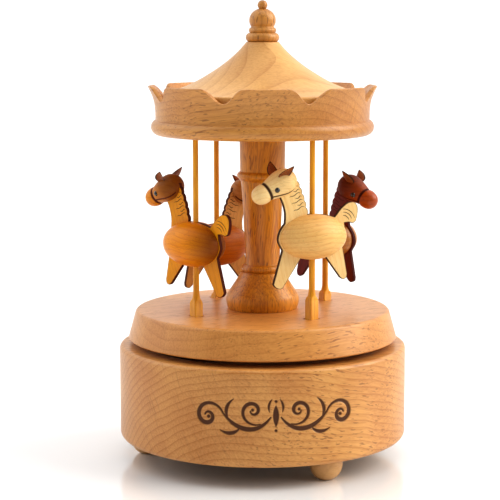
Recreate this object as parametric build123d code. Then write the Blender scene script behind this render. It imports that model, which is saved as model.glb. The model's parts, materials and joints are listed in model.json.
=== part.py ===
"""Carousel music box: a turned beech drum with a wind-up musical movement inside,
and a turntable that carries a column, a canopy and four horses.

Frame: +Z up, the origin on the ground under the drum's axis, -Y towards the viewer.
Millimetres. Each piece is one node, written to parts/NODE.step.
"""
from build123d import *
from math import atan2, cos, degrees, pi, radians, sin, sqrt
import os

# ---------------------------------------------------------------- driving sizes
DRUM_R = 55.0                 # outer radius of the drum
DRUM_BASE_Z = 8.0             # underside of the drum above the ground
DRUM_TOP_Z = 43.9
DRUM_BORE_R = 44.0            # cavity above the cam ledge
LEDGE_R = 42.0                # cavity below the cam ledge
LEDGE_Z = 30.0
BOARD_R = 49.8                # plywood board let into the drum's underside
BOARD_T = 4.5
FINGER_HOLE_R = 17.0          # opening in the board for the fingers on the key

TABLE_BASE_Z = 46.1
TABLE_TOP_Z = 57.2
TABLE_BASE_R = 51.5
TABLE_TOP_R = 48.6

CANOPY_Z = 124.0              # underside of the canopy
CANOPY_WEB_Z = 136.0          # top of the canopy's solid web
CROWN_TIP_Z = 142.6           # top of the crown's lobes
CROWN_TIP_R = 43.6
CROWN_LOBES = 8
CROWN_VALLEY_ANGLE = -65.4    # direction of one valley, degrees from +X
CROWN_VALLEY_DEPTH = 5.3
ROOF_TOP_Z = 158.9

POLE_CIRCLE_R = 30.8          # radius at which the horses ride
# The horses were fitted by hand, so each has its own small turn on its pole, its own offset
# ahead of the pole and its own height of the belly's centre above the socket. Of the two in
# front, each has one leg cut square.
HORSE_ANGLES = {"front_right": -53.6, "front_left": -143.6,
                "back_left": 126.4, "back_right": 36.4}
HORSE_YAW = {"front_right": -12.0, "front_left": 12.0, "back_left": -8.0, "back_right": 14.0}
HORSE_FORWARD = {"front_right": 0.0, "front_left": 1.0, "back_left": 0.0, "back_right": 0.4}
HORSE_SEAT = {"front_right": 23.7, "front_left": 22.1, "back_left": 20.9, "back_right": 22.5}
SQUARE_LEG = {"front_right": "front", "front_left": "rear",
              "back_left": "none", "back_right": "none"}
RIDE_MEAN = 3.7               # mean height of a socket's top above the turntable
RIDE_SWING = 3.6              # half of the rise and fall
RIDE_PEAK_ANGLE = -73.6       # direction of the cam's high side

SOCKET_SIDE = 3.7             # square socket that slides in the turntable
SOCKET_LENGTH = 20.4
SLOT_RADIAL = 4.1
SLOT_TANGENT = 5.4
LUG_REACH = 35.0              # outer end of the follower lug, from the drum's axis
CAM_BORE_R = 35.3             # inner wall of the cam ring

BELLY_A, BELLY_B, BELLY_C = 13.3, 8.4, 8.2   # half length, half height, bulge of one half
PLATE_T = 1.5                 # thickness of a horse's flat body plate
ROD_R = 1.0
STEM_R = 1.15
ROD_TOP_Z = 126.7             # top of a rod with its socket level with the turntable

# musical movement
BED_Z = DRUM_BASE_Z + BOARD_T
BED_T = 1.8
BED_TOP_Z = BED_Z + BED_T
CROWN_WHEEL_TEETH = 28
CYLINDER_PINION_TEETH = 11
CROWN_MODULE = 0.9
RIM_TEETH = 60
STEP_PINION_TEETH = 8
STEP_WHEEL_TEETH = 40
FAN_PINION_TEETH = 8
TRAIN_MODULE = 0.5
BARREL_FLANGE_Z = 19.6
CROWN_ROOT_Z = 20.6
CROWN_PITCH_Z = 21.45
CYLINDER_AXIS_Z = CROWN_PITCH_Z + CROWN_MODULE * CYLINDER_PINION_TEETH / 2
CYLINDER_R = 6.0
CYLINDER_X0, CYLINDER_X1 = 19.0, 35.0
NOTES = 18
STEP_ANGLE = 200.0            # where the step wheel stands round the barrel
FAN_ANGLE = -70.0             # where the fan stands round the step wheel

FOOT_R = 6.2
FOOT_CIRCLE_R = 45.0
FOOT_ANGLES = {"foot_front_right": -58.8, "foot_back_right": 61.2, "foot_left": 181.2}

KEY_RING_X, KEY_RING_Z = 6.2, 7.6
KEY_RING_R, KEY_WIRE_R = 3.4, 0.7

os.makedirs("parts", exist_ok=True)


# ---------------------------------------------------------------- helpers
def save(name, shape):
    """Writes one node."""
    shape.label = name
    export_step(shape, f"parts/{name}.step")


def group(solids):
    """Several separate solids that share a node."""
    return Compound(children=[s if isinstance(s, Solid) else s.solid() for s in solids])


def tube(r_out, r_in, z0, z1):
    """A straight ring about Z."""
    outer = Pos(0, 0, (z0 + z1) / 2) * Cylinder(r_out, z1 - z0)
    if not r_in:
        return outer
    return outer - Pos(0, 0, (z0 + z1) / 2) * Cylinder(r_in, (z1 - z0) + 2)


def turned(*edges):
    """A turned piece: a closed profile in X (radius) and Z, revolved about Z."""
    return revolve(Face(Wire(edges)), Axis.Z, 360)


def rz(r, z):
    """A profile point at radius r and height z."""
    return Vector(r, 0, z)


def line(a, b):
    return Edge.make_line(rz(*a), rz(*b))


def curve(*points, start=None, end=None):
    """A smooth profile curve through (radius, height) points."""
    tangents = None
    if start and end:
        tangents = [rz(*start), rz(*end)]
    return Edge.make_spline([rz(*p) for p in points], tangents=tangents)


def arc(a, middle, b):
    return Edge.make_three_point_arc(rz(*a), rz(*middle), rz(*b))


def path(points):
    """Straight profile edges through (radius, height) points."""
    return [line(a, b) for a, b in zip(points, points[1:])]


def gear_outline(teeth, module, phase=0.0):
    """A wheel's outline: trapezoid teeth, thin enough to leave backlash. Phase in degrees."""
    pitch = module * teeth / 2
    tip, root = pitch + 0.75 * module, pitch - 0.95 * module
    step = 2 * pi / teeth
    points = []
    for k in range(teeth):
        mid = k * step + radians(phase)
        for radius, share in ((root, -0.27), (tip, -0.12), (tip, 0.12), (root, 0.27)):
            angle = mid + share * step
            points.append((radius * cos(angle), radius * sin(angle)))
    return Polygon(*points, align=None)


def gear(teeth, module, z0, z1, phase=0.0):
    """A spur wheel about Z."""
    return extrude(Pos(0, 0, z0) * gear_outline(teeth, module, phase), z1 - z0)


def polar(radius, angle):
    """Centre of something on a circle about Z, angle in degrees."""
    return radius * cos(radians(angle)), radius * sin(radians(angle))


# ---------------------------------------------------------------- drum and underside
def base_drum():
    """Turned beech ring: rounded outer edges, a ledge for the cam and a rebate for the board."""
    board_top = DRUM_BASE_Z + BOARD_T
    top_round, foot_round = 1.6, 2.4
    k = 0.29289
    profile = [
        line((LEDGE_R, board_top), (BOARD_R, board_top)),
        line((BOARD_R, board_top), (BOARD_R, DRUM_BASE_Z)),
        line((BOARD_R, DRUM_BASE_Z), (DRUM_R - foot_round, DRUM_BASE_Z)),
        arc((DRUM_R - foot_round, DRUM_BASE_Z),
            (DRUM_R - foot_round * k, DRUM_BASE_Z + foot_round * k),
            (DRUM_R, DRUM_BASE_Z + foot_round)),
        line((DRUM_R, DRUM_BASE_Z + foot_round), (DRUM_R, DRUM_TOP_Z - top_round)),
        arc((DRUM_R, DRUM_TOP_Z - top_round),
            (DRUM_R - top_round * k, DRUM_TOP_Z - top_round * k),
            (DRUM_R - top_round, DRUM_TOP_Z)),
        line((DRUM_R - top_round, DRUM_TOP_Z), (DRUM_BORE_R + 1.0, DRUM_TOP_Z)),
        line((DRUM_BORE_R + 1.0, DRUM_TOP_Z), (DRUM_BORE_R, DRUM_TOP_Z - 1.0)),
        line((DRUM_BORE_R, DRUM_TOP_Z - 1.0), (DRUM_BORE_R, LEDGE_Z)),
        line((DRUM_BORE_R, LEDGE_Z), (LEDGE_R, LEDGE_Z)),
        line((LEDGE_R, LEDGE_Z), (LEDGE_R, board_top)),
    ]
    return turned(*profile)


def ride_height(angle):
    """How far a socket's top stands above the turntable when it is at this angle."""
    return RIDE_MEAN + RIDE_SWING * cos(radians(angle - RIDE_PEAK_ANGLE))


def cam_ring():
    """Ring on the drum's ledge. Its top is one slanted plane, which lifts each horse once a turn."""
    ring = tube(DRUM_BORE_R, CAM_BORE_R, LEDGE_Z, TABLE_BASE_Z)
    mean_z = TABLE_TOP_Z + RIDE_MEAN - SOCKET_LENGTH
    tilt = degrees(atan2(RIDE_SWING, CAM_BORE_R))
    block_h = 20.0
    cutter = Box(3 * DRUM_R, 3 * DRUM_R, block_h, align=(Align.CENTER, Align.CENTER, Align.MIN))
    place = Pos(0, 0, mean_z) * Rot(0, 0, RIDE_PEAK_ANGLE) * Rot(0, -tilt, 0)
    return ring - place * cutter


SCREW_ANGLES = (20.0, 100.0, 140.0, 220.0, 260.0, 340.0)
BOARD_SCREW_CIRCLE = 46.0
BED_SCREWS = ((-13.6, 16.4), (-16.4, -16.6), (15.2, 16.4), (34.0, -13.0))
SCREW_R = 1.2


def foot_place(angle):
    x, y = polar(FOOT_CIRCLE_R, angle)
    return Pos(x, y, 0)


DOWEL_R, DOWEL_TOP_Z = 2.5, 11.5


def foot():
    """Turned foot: a dome with a small flat to stand on, and a dowel that plugs into the board."""
    flat = 2.0
    profile = [
        line((0, 0), (flat, 0)),
        curve((flat, 0), (4.6, 1.7), (5.85, 4.0), (FOOT_R, 6.2), start=(1.0, 0.22), end=(0, 1)),
        line((FOOT_R, 6.2), (FOOT_R, DRUM_BASE_Z)),
        line((FOOT_R, DRUM_BASE_Z), (DOWEL_R, DRUM_BASE_Z)),
        line((DOWEL_R, DRUM_BASE_Z), (DOWEL_R, DOWEL_TOP_Z)),
        line((DOWEL_R, DOWEL_TOP_Z), (0, DOWEL_TOP_Z)),
        line((0, DOWEL_TOP_Z), (0, 0)),
    ]
    return turned(*profile)


def bottom_board():
    """Plywood disc with the finger hole, dowel holes for the feet and pilot holes for the screws."""
    board = tube(BOARD_R, FINGER_HOLE_R, DRUM_BASE_Z, BED_Z)
    depth = DOWEL_TOP_Z - DRUM_BASE_Z
    for angle in FOOT_ANGLES.values():
        board -= foot_place(angle) * Pos(0, 0, DRUM_BASE_Z + depth / 2) * Cylinder(DOWEL_R, depth)
    for x, y in BED_SCREWS:
        board -= Pos(x, y, BED_Z - 1.5) * Cylinder(SCREW_R, 3.0)
    return board


def bed_screws():
    """Four round-head screws that hold the movement down on the board."""
    head_r, head_h, depth = 2.2, 1.1, 3.0
    slot_w, slot_d = 0.5, 0.5
    solids = []
    for x, y in BED_SCREWS:
        shank = Pos(x, y, BED_TOP_Z - (BED_T + depth) / 2) * Cylinder(SCREW_R, BED_T + depth)
        head = Pos(x, y, BED_TOP_Z + head_h / 2) * Cylinder(head_r, head_h)
        slot = Pos(x, y, BED_TOP_Z + head_h) * Box(2 * head_r + 1, slot_w, 2 * slot_d)
        solids.append(shank + head - slot)
    return group(solids)


# ---------------------------------------------------------------- turntable, column, canopy
def slot_at(angle):
    """Place of a horse's slot, turned so that X runs radially."""
    x, y = polar(POLE_CIRCLE_R, angle)
    return Pos(x, y, 0) * Rot(0, 0, angle)


TENON_R = 5.0
BOSS_FLANGE_R, BOSS_SLEEVE_R, BOSS_TOP_Z = 9.0, 3.4, 50.0
SHAFT_R = 1.5


def turntable_plate():
    """Turned disc with a sloping side, four slots for the sockets and a bore for the boss."""
    round_top = 1.1
    profile = [
        line((0, TABLE_BASE_Z), (TABLE_BASE_R - 0.5, TABLE_BASE_Z)),
        line((TABLE_BASE_R - 0.5, TABLE_BASE_Z), (TABLE_BASE_R, TABLE_BASE_Z + 0.5)),
        line((TABLE_BASE_R, TABLE_BASE_Z + 0.5), (TABLE_TOP_R + 0.25, TABLE_TOP_Z - round_top)),
        curve((TABLE_TOP_R + 0.25, TABLE_TOP_Z - round_top),
              (TABLE_TOP_R - 0.25, TABLE_TOP_Z - 0.32),
              (TABLE_TOP_R - 1.3, TABLE_TOP_Z), start=(-0.25, 1), end=(-1, 0)),
        line((TABLE_TOP_R - 1.3, TABLE_TOP_Z), (0, TABLE_TOP_Z)),
        line((0, TABLE_TOP_Z), (0, TABLE_BASE_Z)),
    ]
    disc = turned(*profile)
    disc -= tube(TENON_R, 0, BOSS_TOP_Z, TABLE_TOP_Z + 1)
    disc -= tube(BOSS_SLEEVE_R, 0, TABLE_BASE_Z - 1, BOSS_TOP_Z)
    for angle in HORSE_ANGLES.values():
        disc -= slot_at(angle) * Pos(0, 0, TABLE_BASE_Z) * Box(SLOT_RADIAL, SLOT_TANGENT, 40)
    return disc


def drive_boss():
    """Flanged brass boss under the turntable, pressed on the movement's output shaft."""
    flange_t = 1.4
    boss = tube(BOSS_FLANGE_R, SHAFT_R, TABLE_BASE_Z - flange_t, TABLE_BASE_Z)
    return boss + tube(BOSS_SLEEVE_R, SHAFT_R, TABLE_BASE_Z - flange_t, BOSS_TOP_Z)


COLUMN_TENON_TOP_Z = 131.0


def centre_column():
    """Turned column: a bell foot, two beads, a tapering shaft and a tenon at each end."""
    profile = [
        line((0, BOSS_TOP_Z), (TENON_R, BOSS_TOP_Z)),
        line((TENON_R, BOSS_TOP_Z), (TENON_R, TABLE_TOP_Z)),
        line((TENON_R, TABLE_TOP_Z), (13.2, TABLE_TOP_Z)),
        curve((13.2, TABLE_TOP_Z), (13.85, 59.0), (14.0, 61.0), (13.5, 62.9), start=(0.6, 1), end=(-0.75, 1)),
        curve((13.5, 62.9), (10.6, 67.3), (8.3, 71.2), start=(-0.6, 1), end=(-0.45, 1)),
        line((8.3, 71.2), (7.4, 71.6)),
        arc((7.4, 71.6), (8.1, 72.8), (7.3, 74.0)),
        line((7.3, 74.0), (6.55, 74.3)),
        curve((6.55, 74.3), (7.05, 88.0), (8.3, 106.2), start=(0.02, 1), end=(0.12, 1)),
        line((8.3, 106.2), (8.9, 107.0)),
        arc((8.9, 107.0), (9.7, 108.4), (8.9, 109.7)),
        line((8.9, 109.7), (8.55, 110.0)),
        line((8.55, 110.0), (8.75, CANOPY_Z)),
        line((8.75, CANOPY_Z), (TENON_R, CANOPY_Z)),
        line((TENON_R, CANOPY_Z), (TENON_R, COLUMN_TENON_TOP_Z)),
        line((TENON_R, COLUMN_TENON_TOP_Z), (0, COLUMN_TENON_TOP_Z)),
        line((0, COLUMN_TENON_TOP_Z), (0, BOSS_TOP_Z)),
    ]
    return turned(*profile)


CROWN_BODY_R = 40.6
CROWN_INNER_R = 39.0
ROD_HOLE_R = 1.2
ROD_HOLE_TOP_Z = 134.8


def valley_cutter():
    """One valley between two lobes: an S-sided dip, cut along the radius."""
    d = CROWN_VALLEY_DEPTH
    half = 8.6
    shares = ((-1.0, 0.12), (-0.72, -0.10), (-0.40, -0.62), (0.0, -1.0),
              (0.40, -0.62), (0.72, -0.10), (1.0, 0.12))
    dip = Edge.make_spline([Vector(0, half * s, CROWN_TIP_Z + d * h) for s, h in shares],
                           tangents=[Vector(0, 1, -0.12), Vector(0, 1, 0.12)])
    z_left, z_top = CROWN_TIP_Z + 0.12 * d, CROWN_TIP_Z + 6
    sides = [
        Edge.make_line(Vector(0, half, z_left), Vector(0, half, z_top)),
        Edge.make_line(Vector(0, half, z_top), Vector(0, -half, z_top)),
        Edge.make_line(Vector(0, -half, z_top), Vector(0, -half, z_left)),
    ]
    face = Face(Wire([dip, *sides]))
    return Pos(CROWN_INNER_R - 3, 0, 0) * extrude(face, 14, dir=(1, 0, 0))


def canopy_crown():
    """Turned canopy: a bead, a solid web with the rods' blind holes, and a crown with a wavy lip."""
    bead_top = CANOPY_Z + 5.4
    profile = [
        line((0, CANOPY_Z), (39.8, CANOPY_Z)),
        arc((39.8, CANOPY_Z), (42.3, CANOPY_Z + 2.7), (41.2, bead_top)),
        line((41.2, bead_top), (CROWN_BODY_R, bead_top + 0.2)),
        curve((CROWN_BODY_R, bead_top + 0.2), (40.7, 133.5), (41.2, 137.0), (42.5, 140.4),
              (CROWN_TIP_R, CROWN_TIP_Z - 0.8), start=(0, 1), end=(0.7, 1)),
        curve((CROWN_TIP_R, CROWN_TIP_Z - 0.8), (43.2, CROWN_TIP_Z), (42.2, CROWN_TIP_Z - 0.1)),
        curve((42.2, CROWN_TIP_Z - 0.1), (40.6, 140.6), (39.4, 138.2), (CROWN_INNER_R, CANOPY_WEB_Z)),
        line((CROWN_INNER_R, CANOPY_WEB_Z), (0, CANOPY_WEB_Z)),
        line((0, CANOPY_WEB_Z), (0, CANOPY_Z)),
    ]
    crown = turned(*profile)
    cutter = valley_cutter()
    for k in range(CROWN_LOBES):
        crown -= Rot(0, 0, CROWN_VALLEY_ANGLE + k * 360 / CROWN_LOBES) * cutter
    crown -= tube(TENON_R, 0, CANOPY_Z - 1, COLUMN_TENON_TOP_Z)
    for angle in HORSE_ANGLES.values():
        crown -= slot_at(angle) * tube(ROD_HOLE_R, 0, CANOPY_Z - 1, ROD_HOLE_TOP_Z)
    return crown


FINIAL_DOWEL_R, FINIAL_DOWEL_Z = 1.8, 152.0


def roof_cone():
    """Turned tent roof that stands inside the crown, bored for the finial."""
    edge_r, edge_z = 38.4, 139.6
    profile = [
        line((0, CANOPY_WEB_Z), (edge_r, CANOPY_WEB_Z)),
        line((edge_r, CANOPY_WEB_Z), (edge_r, edge_z - 0.4)),
        line((edge_r, edge_z - 0.4), (edge_r - 0.4, edge_z)),
        curve((edge_r - 0.4, edge_z), (26.6, 143.4), (19.8, 147.2), (13.75, 151.4),
              (8.9, 155.7), (6.1, ROOF_TOP_Z), start=(-1, 0.2), end=(-0.8, 1)),
        line((6.1, ROOF_TOP_Z), (FINIAL_DOWEL_R, ROOF_TOP_Z)),
        line((FINIAL_DOWEL_R, ROOF_TOP_Z), (FINIAL_DOWEL_R, FINIAL_DOWEL_Z)),
        line((FINIAL_DOWEL_R, FINIAL_DOWEL_Z), (0, FINIAL_DOWEL_Z)),
        line((0, FINIAL_DOWEL_Z), (0, CANOPY_WEB_Z)),
    ]
    return turned(*profile)


def finial():
    """Turned finial: a flared ring, a small ring, an onion and a ball, on a dowel."""
    z = ROOF_TOP_Z
    profile = [
        line((0, FINIAL_DOWEL_Z), (FINIAL_DOWEL_R, FINIAL_DOWEL_Z)),
        line((FINIAL_DOWEL_R, FINIAL_DOWEL_Z), (FINIAL_DOWEL_R, z)),
        line((FINIAL_DOWEL_R, z), (5.4, z)),
        arc((5.4, z), (6.35, z + 1.6), (5.3, z + 3.3)),
        line((5.3, z + 3.3), (4.8, z + 3.5)),
        arc((4.8, z + 3.5), (5.2, z + 4.4), (4.5, z + 5.3)),
        line((4.5, z + 5.3), (4.3, z + 5.7)),
        arc((4.3, z + 5.7), (5.0, z + 8.4), (3.9, z + 10.9)),
        arc((3.9, z + 10.9), (2.7, z + 11.85), (1.3, z + 12.4)),
        arc((1.3, z + 12.4), (1.74, z + 13.1), (1.85, z + 13.72)),
        curve((1.85, z + 13.72), (1.4, z + 14.95), (0, z + 15.57), start=(0, 1), end=(-1, 0)),
        line((0, z + 15.57), (0, FINIAL_DOWEL_Z)),
    ]
    return turned(*profile)


# ---------------------------------------------------------------- musical movement
CYLINDER_BEARINGS_X = (17.1, 36.5)
ARBOR_R = 1.8
JOURNAL_R = 1.2
RUNNING = 0.05                # radial clearance of a journal in its hole
STEP_DISTANCE = TRAIN_MODULE * (RIM_TEETH + STEP_PINION_TEETH) / 2
FAN_DISTANCE = TRAIN_MODULE * (STEP_WHEEL_TEETH + FAN_PINION_TEETH) / 2
STEP_X, STEP_Y = polar(STEP_DISTANCE, STEP_ANGLE)
FAN_X = STEP_X + polar(FAN_DISTANCE, FAN_ANGLE)[0]
FAN_Y = STEP_Y + polar(FAN_DISTANCE, FAN_ANGLE)[1]
PIVOT_R = 0.7
BRIDGE_Z, BRIDGE_T = 25.6, 1.2
COMB_Z, COMB_T = 26.0, 0.8
COMB_SCREWS = ((22.0, 17.0), (32.0, 17.0))
COMB_BACK_Y, COMB_FRONT_Y = 14.0, 19.5


def movement_bedplate():
    """Cast bedplate with the comb's block, and holes for the arbor, pivots and screws."""
    x0, x1, half_y, corner = -21.0, 39.0, 20.0, 6.0
    outline = Pos((x0 + x1) / 2, 0, BED_Z) * RectangleRounded(x1 - x0, 2 * half_y, corner)
    plate = extrude(outline, BED_T)
    block_h = COMB_Z - BED_TOP_Z
    plate += Pos(27, (COMB_BACK_Y + COMB_FRONT_Y) / 2, BED_TOP_Z + block_h / 2) * Box(
        CYLINDER_X1 - CYLINDER_X0, COMB_FRONT_Y - COMB_BACK_Y, block_h)
    plate -= tube(ARBOR_R + RUNNING, 0, BED_Z - 1, BED_TOP_Z + 1)
    for x, y in BED_SCREWS:
        plate -= Pos(x, y, BED_Z + BED_T / 2) * Cylinder(SCREW_R, BED_T + 1)
    for x, y in COMB_SCREWS:
        plate -= Pos(x, y, COMB_Z - 2) * Cylinder(0.9, 4.0)
    for x, y in ((STEP_X, STEP_Y), (FAN_X, FAN_Y)):
        plate -= Pos(x, y, BED_TOP_Z - 0.5) * Cylinder(PIVOT_R + RUNNING, 1.2)
    return plate


def winding_arbor():
    """Steel arbor: the key screws on below, and its hub holds the mainspring's inner end."""
    arbor = tube(ARBOR_R, 0, 8.2, 19.4)
    return arbor + tube(3.2, 0, 15.9, 19.4)


def winding_key():
    """Key with a round sleeve and two ring-shaped wings."""
    sleeve_top = 12.2
    sleeve = tube(2.6, 0, 5.6, sleeve_top)
    for side in (-1, 1):
        ring = Torus(KEY_RING_R, KEY_WIRE_R)
        sleeve += Pos(side * KEY_RING_X, 0, KEY_RING_Z) * Rot(90, 0, 0) * ring
    return sleeve - tube(ARBOR_R, 0, 8.2, sleeve_top + 1)


def crown_teeth():
    """Face teeth on the barrel's flange, which drive the cylinder's pinion."""
    inner, outer = 11.4, 13.6
    height = CROWN_PITCH_Z + 0.65 - CROWN_ROOT_Z
    step = 2 * pi * CROWN_MODULE * CROWN_WHEEL_TEETH / 2 / CROWN_WHEEL_TEETH
    foot_w, tip_w = 0.52 * step, 0.22 * step
    outline = Polygon((-foot_w / 2, 0), (foot_w / 2, 0), (tip_w / 2, height), (-tip_w / 2, height), align=None)
    tooth = extrude(Plane.YZ * outline, outer - inner)
    solids = []
    for k in range(CROWN_WHEEL_TEETH):
        turn = Rot(0, 0, (k + 0.5) * 360 / CROWN_WHEEL_TEETH)
        solids.append(turn * Pos(inner, 0, CROWN_ROOT_Z) * tooth)
    return solids


def spring_barrel():
    """Going barrel: a closed cup for the mainspring, with rim teeth and face teeth."""
    bottom_z, skin, wall_r = 15.0, 0.7, 12.9
    barrel = tube(wall_r, 0, bottom_z, CROWN_ROOT_Z)
    rim_phase = STEP_ANGLE
    barrel += gear(RIM_TEETH, TRAIN_MODULE, BARREL_FLANGE_Z, CROWN_ROOT_Z, rim_phase)
    barrel -= tube(wall_r - skin, 0, bottom_z + skin, BARREL_FLANGE_Z)
    barrel -= tube(ARBOR_R + RUNNING, 0, bottom_z - 1, bottom_z + 2)
    for tooth in crown_teeth():
        barrel += tooth
    return barrel


def mainspring():
    """Flat spiral spring, from near the arbor's hub to near the barrel's wall."""
    turns, inner, outer, thickness = 6, 4.0, 11.9, 0.3
    per_turn = 12
    count = turns * per_turn

    def spiral(offset):
        points = []
        for k in range(count + 1):
            angle = 2 * pi * k / per_turn
            radius = inner + (outer - inner) * k / count + offset
            points.append(Vector(radius * cos(angle), radius * sin(angle), 16.0))
        return points

    low, high = spiral(-thickness / 2), spiral(thickness / 2)
    edges = [Edge.make_spline(low), Edge.make_line(low[-1], high[-1]),
             Edge.make_spline(list(reversed(high))), Edge.make_line(high[0], low[0])]
    return extrude(Face(Wire(edges)), 3.2, dir=(0, 0, 1))


def output_shaft():
    """Steel shaft that rises from the barrel's cover to the turntable's boss."""
    return tube(SHAFT_R, 0, CROWN_ROOT_Z, 49.6) + tube(4.0, 0, CROWN_ROOT_Z, CROWN_ROOT_Z + 1.2)


def cylinder_bearings():
    """Two upright bearing plates for the cylinder."""
    solids = []
    thickness, width = 1.4, 7.0
    top = CYLINDER_AXIS_Z + 2.6
    for x in CYLINDER_BEARINGS_X:
        plate = Pos(x, 0, (BED_TOP_Z + top) / 2) * Box(thickness, width, top - BED_TOP_Z)
        hole = Pos(x, 0, CYLINDER_AXIS_Z) * Rot(0, 90, 0) * Cylinder(JOURNAL_R + RUNNING, thickness + 1)
        solids.append(plate - hole)
    return group(solids)


def cylinder_arbor():
    """Cylinder's arbor, with the pinion that the crown wheel drives."""
    x0, x1 = 11.5, 37.2
    pinion = gear(CYLINDER_PINION_TEETH, CROWN_MODULE, 0, 2.0)
    arbor = Pos(0, 0, (x1 - x0) / 2) * Cylinder(JOURNAL_R, x1 - x0)
    lay = Pos(x0, 0, CYLINDER_AXIS_Z) * Rot(0, 90, 0)
    return lay * (pinion + arbor)


def pinned_cylinder():
    """Brass cylinder, with pins standing out of it where the comb's teeth are plucked."""
    length = CYLINDER_X1 - CYLINDER_X0
    body = Cylinder(CYLINDER_R, length) - Cylinder(JOURNAL_R, length + 1)
    pin_r, pin_out, sunk = 0.2, 0.45, 0.5
    pins_per_note, golden = 3, 137.5
    pitch = length / (NOTES + 1)
    for note in range(NOTES):
        for k in range(pins_per_note):
            angle = golden * (note * pins_per_note + k)
            pin = Pos(CYLINDER_R - sunk + (sunk + pin_out) / 2, 0, 0) * Rot(0, 90, 0) * Cylinder(
                pin_r, sunk + pin_out)
            body += Rot(0, 0, angle) * Pos(0, 0, -length / 2 + pitch * (note + 1)) * pin
    return Pos((CYLINDER_X0 + CYLINDER_X1) / 2, 0, CYLINDER_AXIS_Z) * Rot(0, 90, 0) * body


def note_comb():
    """Steel comb: a back plate and a row of tuned teeth that reach the pins."""
    tip_y = CYLINDER_R + 0.65
    pitch = (CYLINDER_X1 - CYLINDER_X0) / (NOTES + 1)
    comb = Pos(27, (COMB_BACK_Y + COMB_FRONT_Y) / 2, COMB_Z + COMB_T / 2) * Box(
        CYLINDER_X1 - CYLINDER_X0, COMB_FRONT_Y - COMB_BACK_Y, COMB_T)
    tooth_w, overlap = 0.55, 0.5
    for note in range(NOTES):
        x = CYLINDER_X0 + pitch * (note + 1)
        length = COMB_BACK_Y + overlap - tip_y
        comb += Pos(x, tip_y + length / 2, COMB_Z + COMB_T / 2) * Box(tooth_w, length, 0.5)
    for x, y in COMB_SCREWS:
        comb -= Pos(x, y, COMB_Z + COMB_T / 2) * Cylinder(0.9, COMB_T + 1)
    return comb


def comb_screws():
    """Two screws that clamp the comb on its block."""
    solids = []
    for x, y in COMB_SCREWS:
        shank = Pos(x, y, COMB_Z - 1.6) * Cylinder(0.9, 4.8)
        head = Pos(x, y, COMB_Z + COMB_T + 0.5) * Cylinder(1.7, 1.0)
        solids.append(shank + head)
    return group(solids)


def train_phase(teeth, mate_angle):
    """Turns a wheel so that one of its gaps faces its mate."""
    return mate_angle + 180 / teeth


def step_wheel():
    """Arbor with a small pinion, driven by the barrel, and a large wheel that drives the fan."""
    to_barrel, to_fan = STEP_ANGLE + 180, FAN_ANGLE
    arbor = tube(PIVOT_R, 0, BED_TOP_Z - 0.9, BRIDGE_Z + 0.9)
    arbor += tube(1.1, 0, 15.2, 25.2)
    arbor += gear(STEP_PINION_TEETH, TRAIN_MODULE, 19.2, 21.0, train_phase(STEP_PINION_TEETH, to_barrel))
    arbor += gear(STEP_WHEEL_TEETH, TRAIN_MODULE, 23.2, 24.2, to_fan)
    return Pos(STEP_X, STEP_Y, 0) * arbor


def air_brake():
    """Fan spindle: a pinion low down and two flat vanes above the bridge, which pace the tune."""
    spindle = tube(PIVOT_R, 0, BED_TOP_Z - 0.9, 33.2)
    to_step = FAN_ANGLE + 180
    spindle += gear(FAN_PINION_TEETH, TRAIN_MODULE, 22.8, 24.6, train_phase(FAN_PINION_TEETH, to_step))
    spindle += Pos(0, 0, 30.6) * Box(9.0, 0.5, 4.2)
    return Pos(FAN_X, FAN_Y, 0) * spindle


def governor_bridge():
    """Bridge on two legs, which holds the top pivots of the step wheel and the fan."""
    leg_a, leg_b, leg_r = (-18.4, 6.6), (-3.2, -18.2), 1.3
    margin = 2.0
    corners = [leg_a, (STEP_X, STEP_Y), (FAN_X, FAN_Y), leg_b]
    plate = None
    for x, y in corners:
        pad = Pos(x, y, BRIDGE_Z + BRIDGE_T / 2) * Cylinder(margin, BRIDGE_T)
        plate = pad if plate is None else plate + pad
    for (xa, ya), (xb, yb) in zip(corners, corners[1:]):
        length = sqrt((xb - xa) ** 2 + (yb - ya) ** 2)
        turn = degrees(atan2(yb - ya, xb - xa))
        plate += Pos((xa + xb) / 2, (ya + yb) / 2, BRIDGE_Z + BRIDGE_T / 2) * Rot(0, 0, turn) * Box(
            length, 2.6, BRIDGE_T)
    for x, y in ((STEP_X, STEP_Y), (FAN_X, FAN_Y)):
        plate -= Pos(x, y, BRIDGE_Z + BRIDGE_T / 2) * Cylinder(PIVOT_R + RUNNING, BRIDGE_T + 1)
    for x, y in (leg_a, leg_b):
        plate += Pos(x, y, (BED_TOP_Z + BRIDGE_Z) / 2) * Cylinder(leg_r, BRIDGE_Z - BED_TOP_Z)
    return plate


# ---------------------------------------------------------------- horses
# A horse is built about its belly's centre: X forward, Y to its left, Z up.
HEAD_BACK, HEAD_DIP = Vector(11.9, 0, 20.6), 27.0
SEAT_DEPTH = 4.0              # how far the rod and the stem go into the belly
LEGS = {
    "round": ((14.2, -14.6), (13.9, -16.0), (12.6, -16.6), (11.4, -15.9)),
    "square": ((15.9, -16.8), (15.5, -17.6), (12.9, -18.7), (12.2, -18.4)),
}


def flat(x, z):
    """A point on the plate's middle plane."""
    return Vector(x, 0, z)


def smooth(*points):
    """One smooth edge of the plate's outline."""
    return [Edge.make_spline([flat(*p) for p in points])]


def run(*points):
    """Straight edges of the plate's outline."""
    return [Edge.make_line(flat(*a), flat(*b)) for a, b in zip(points, points[1:])]


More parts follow.
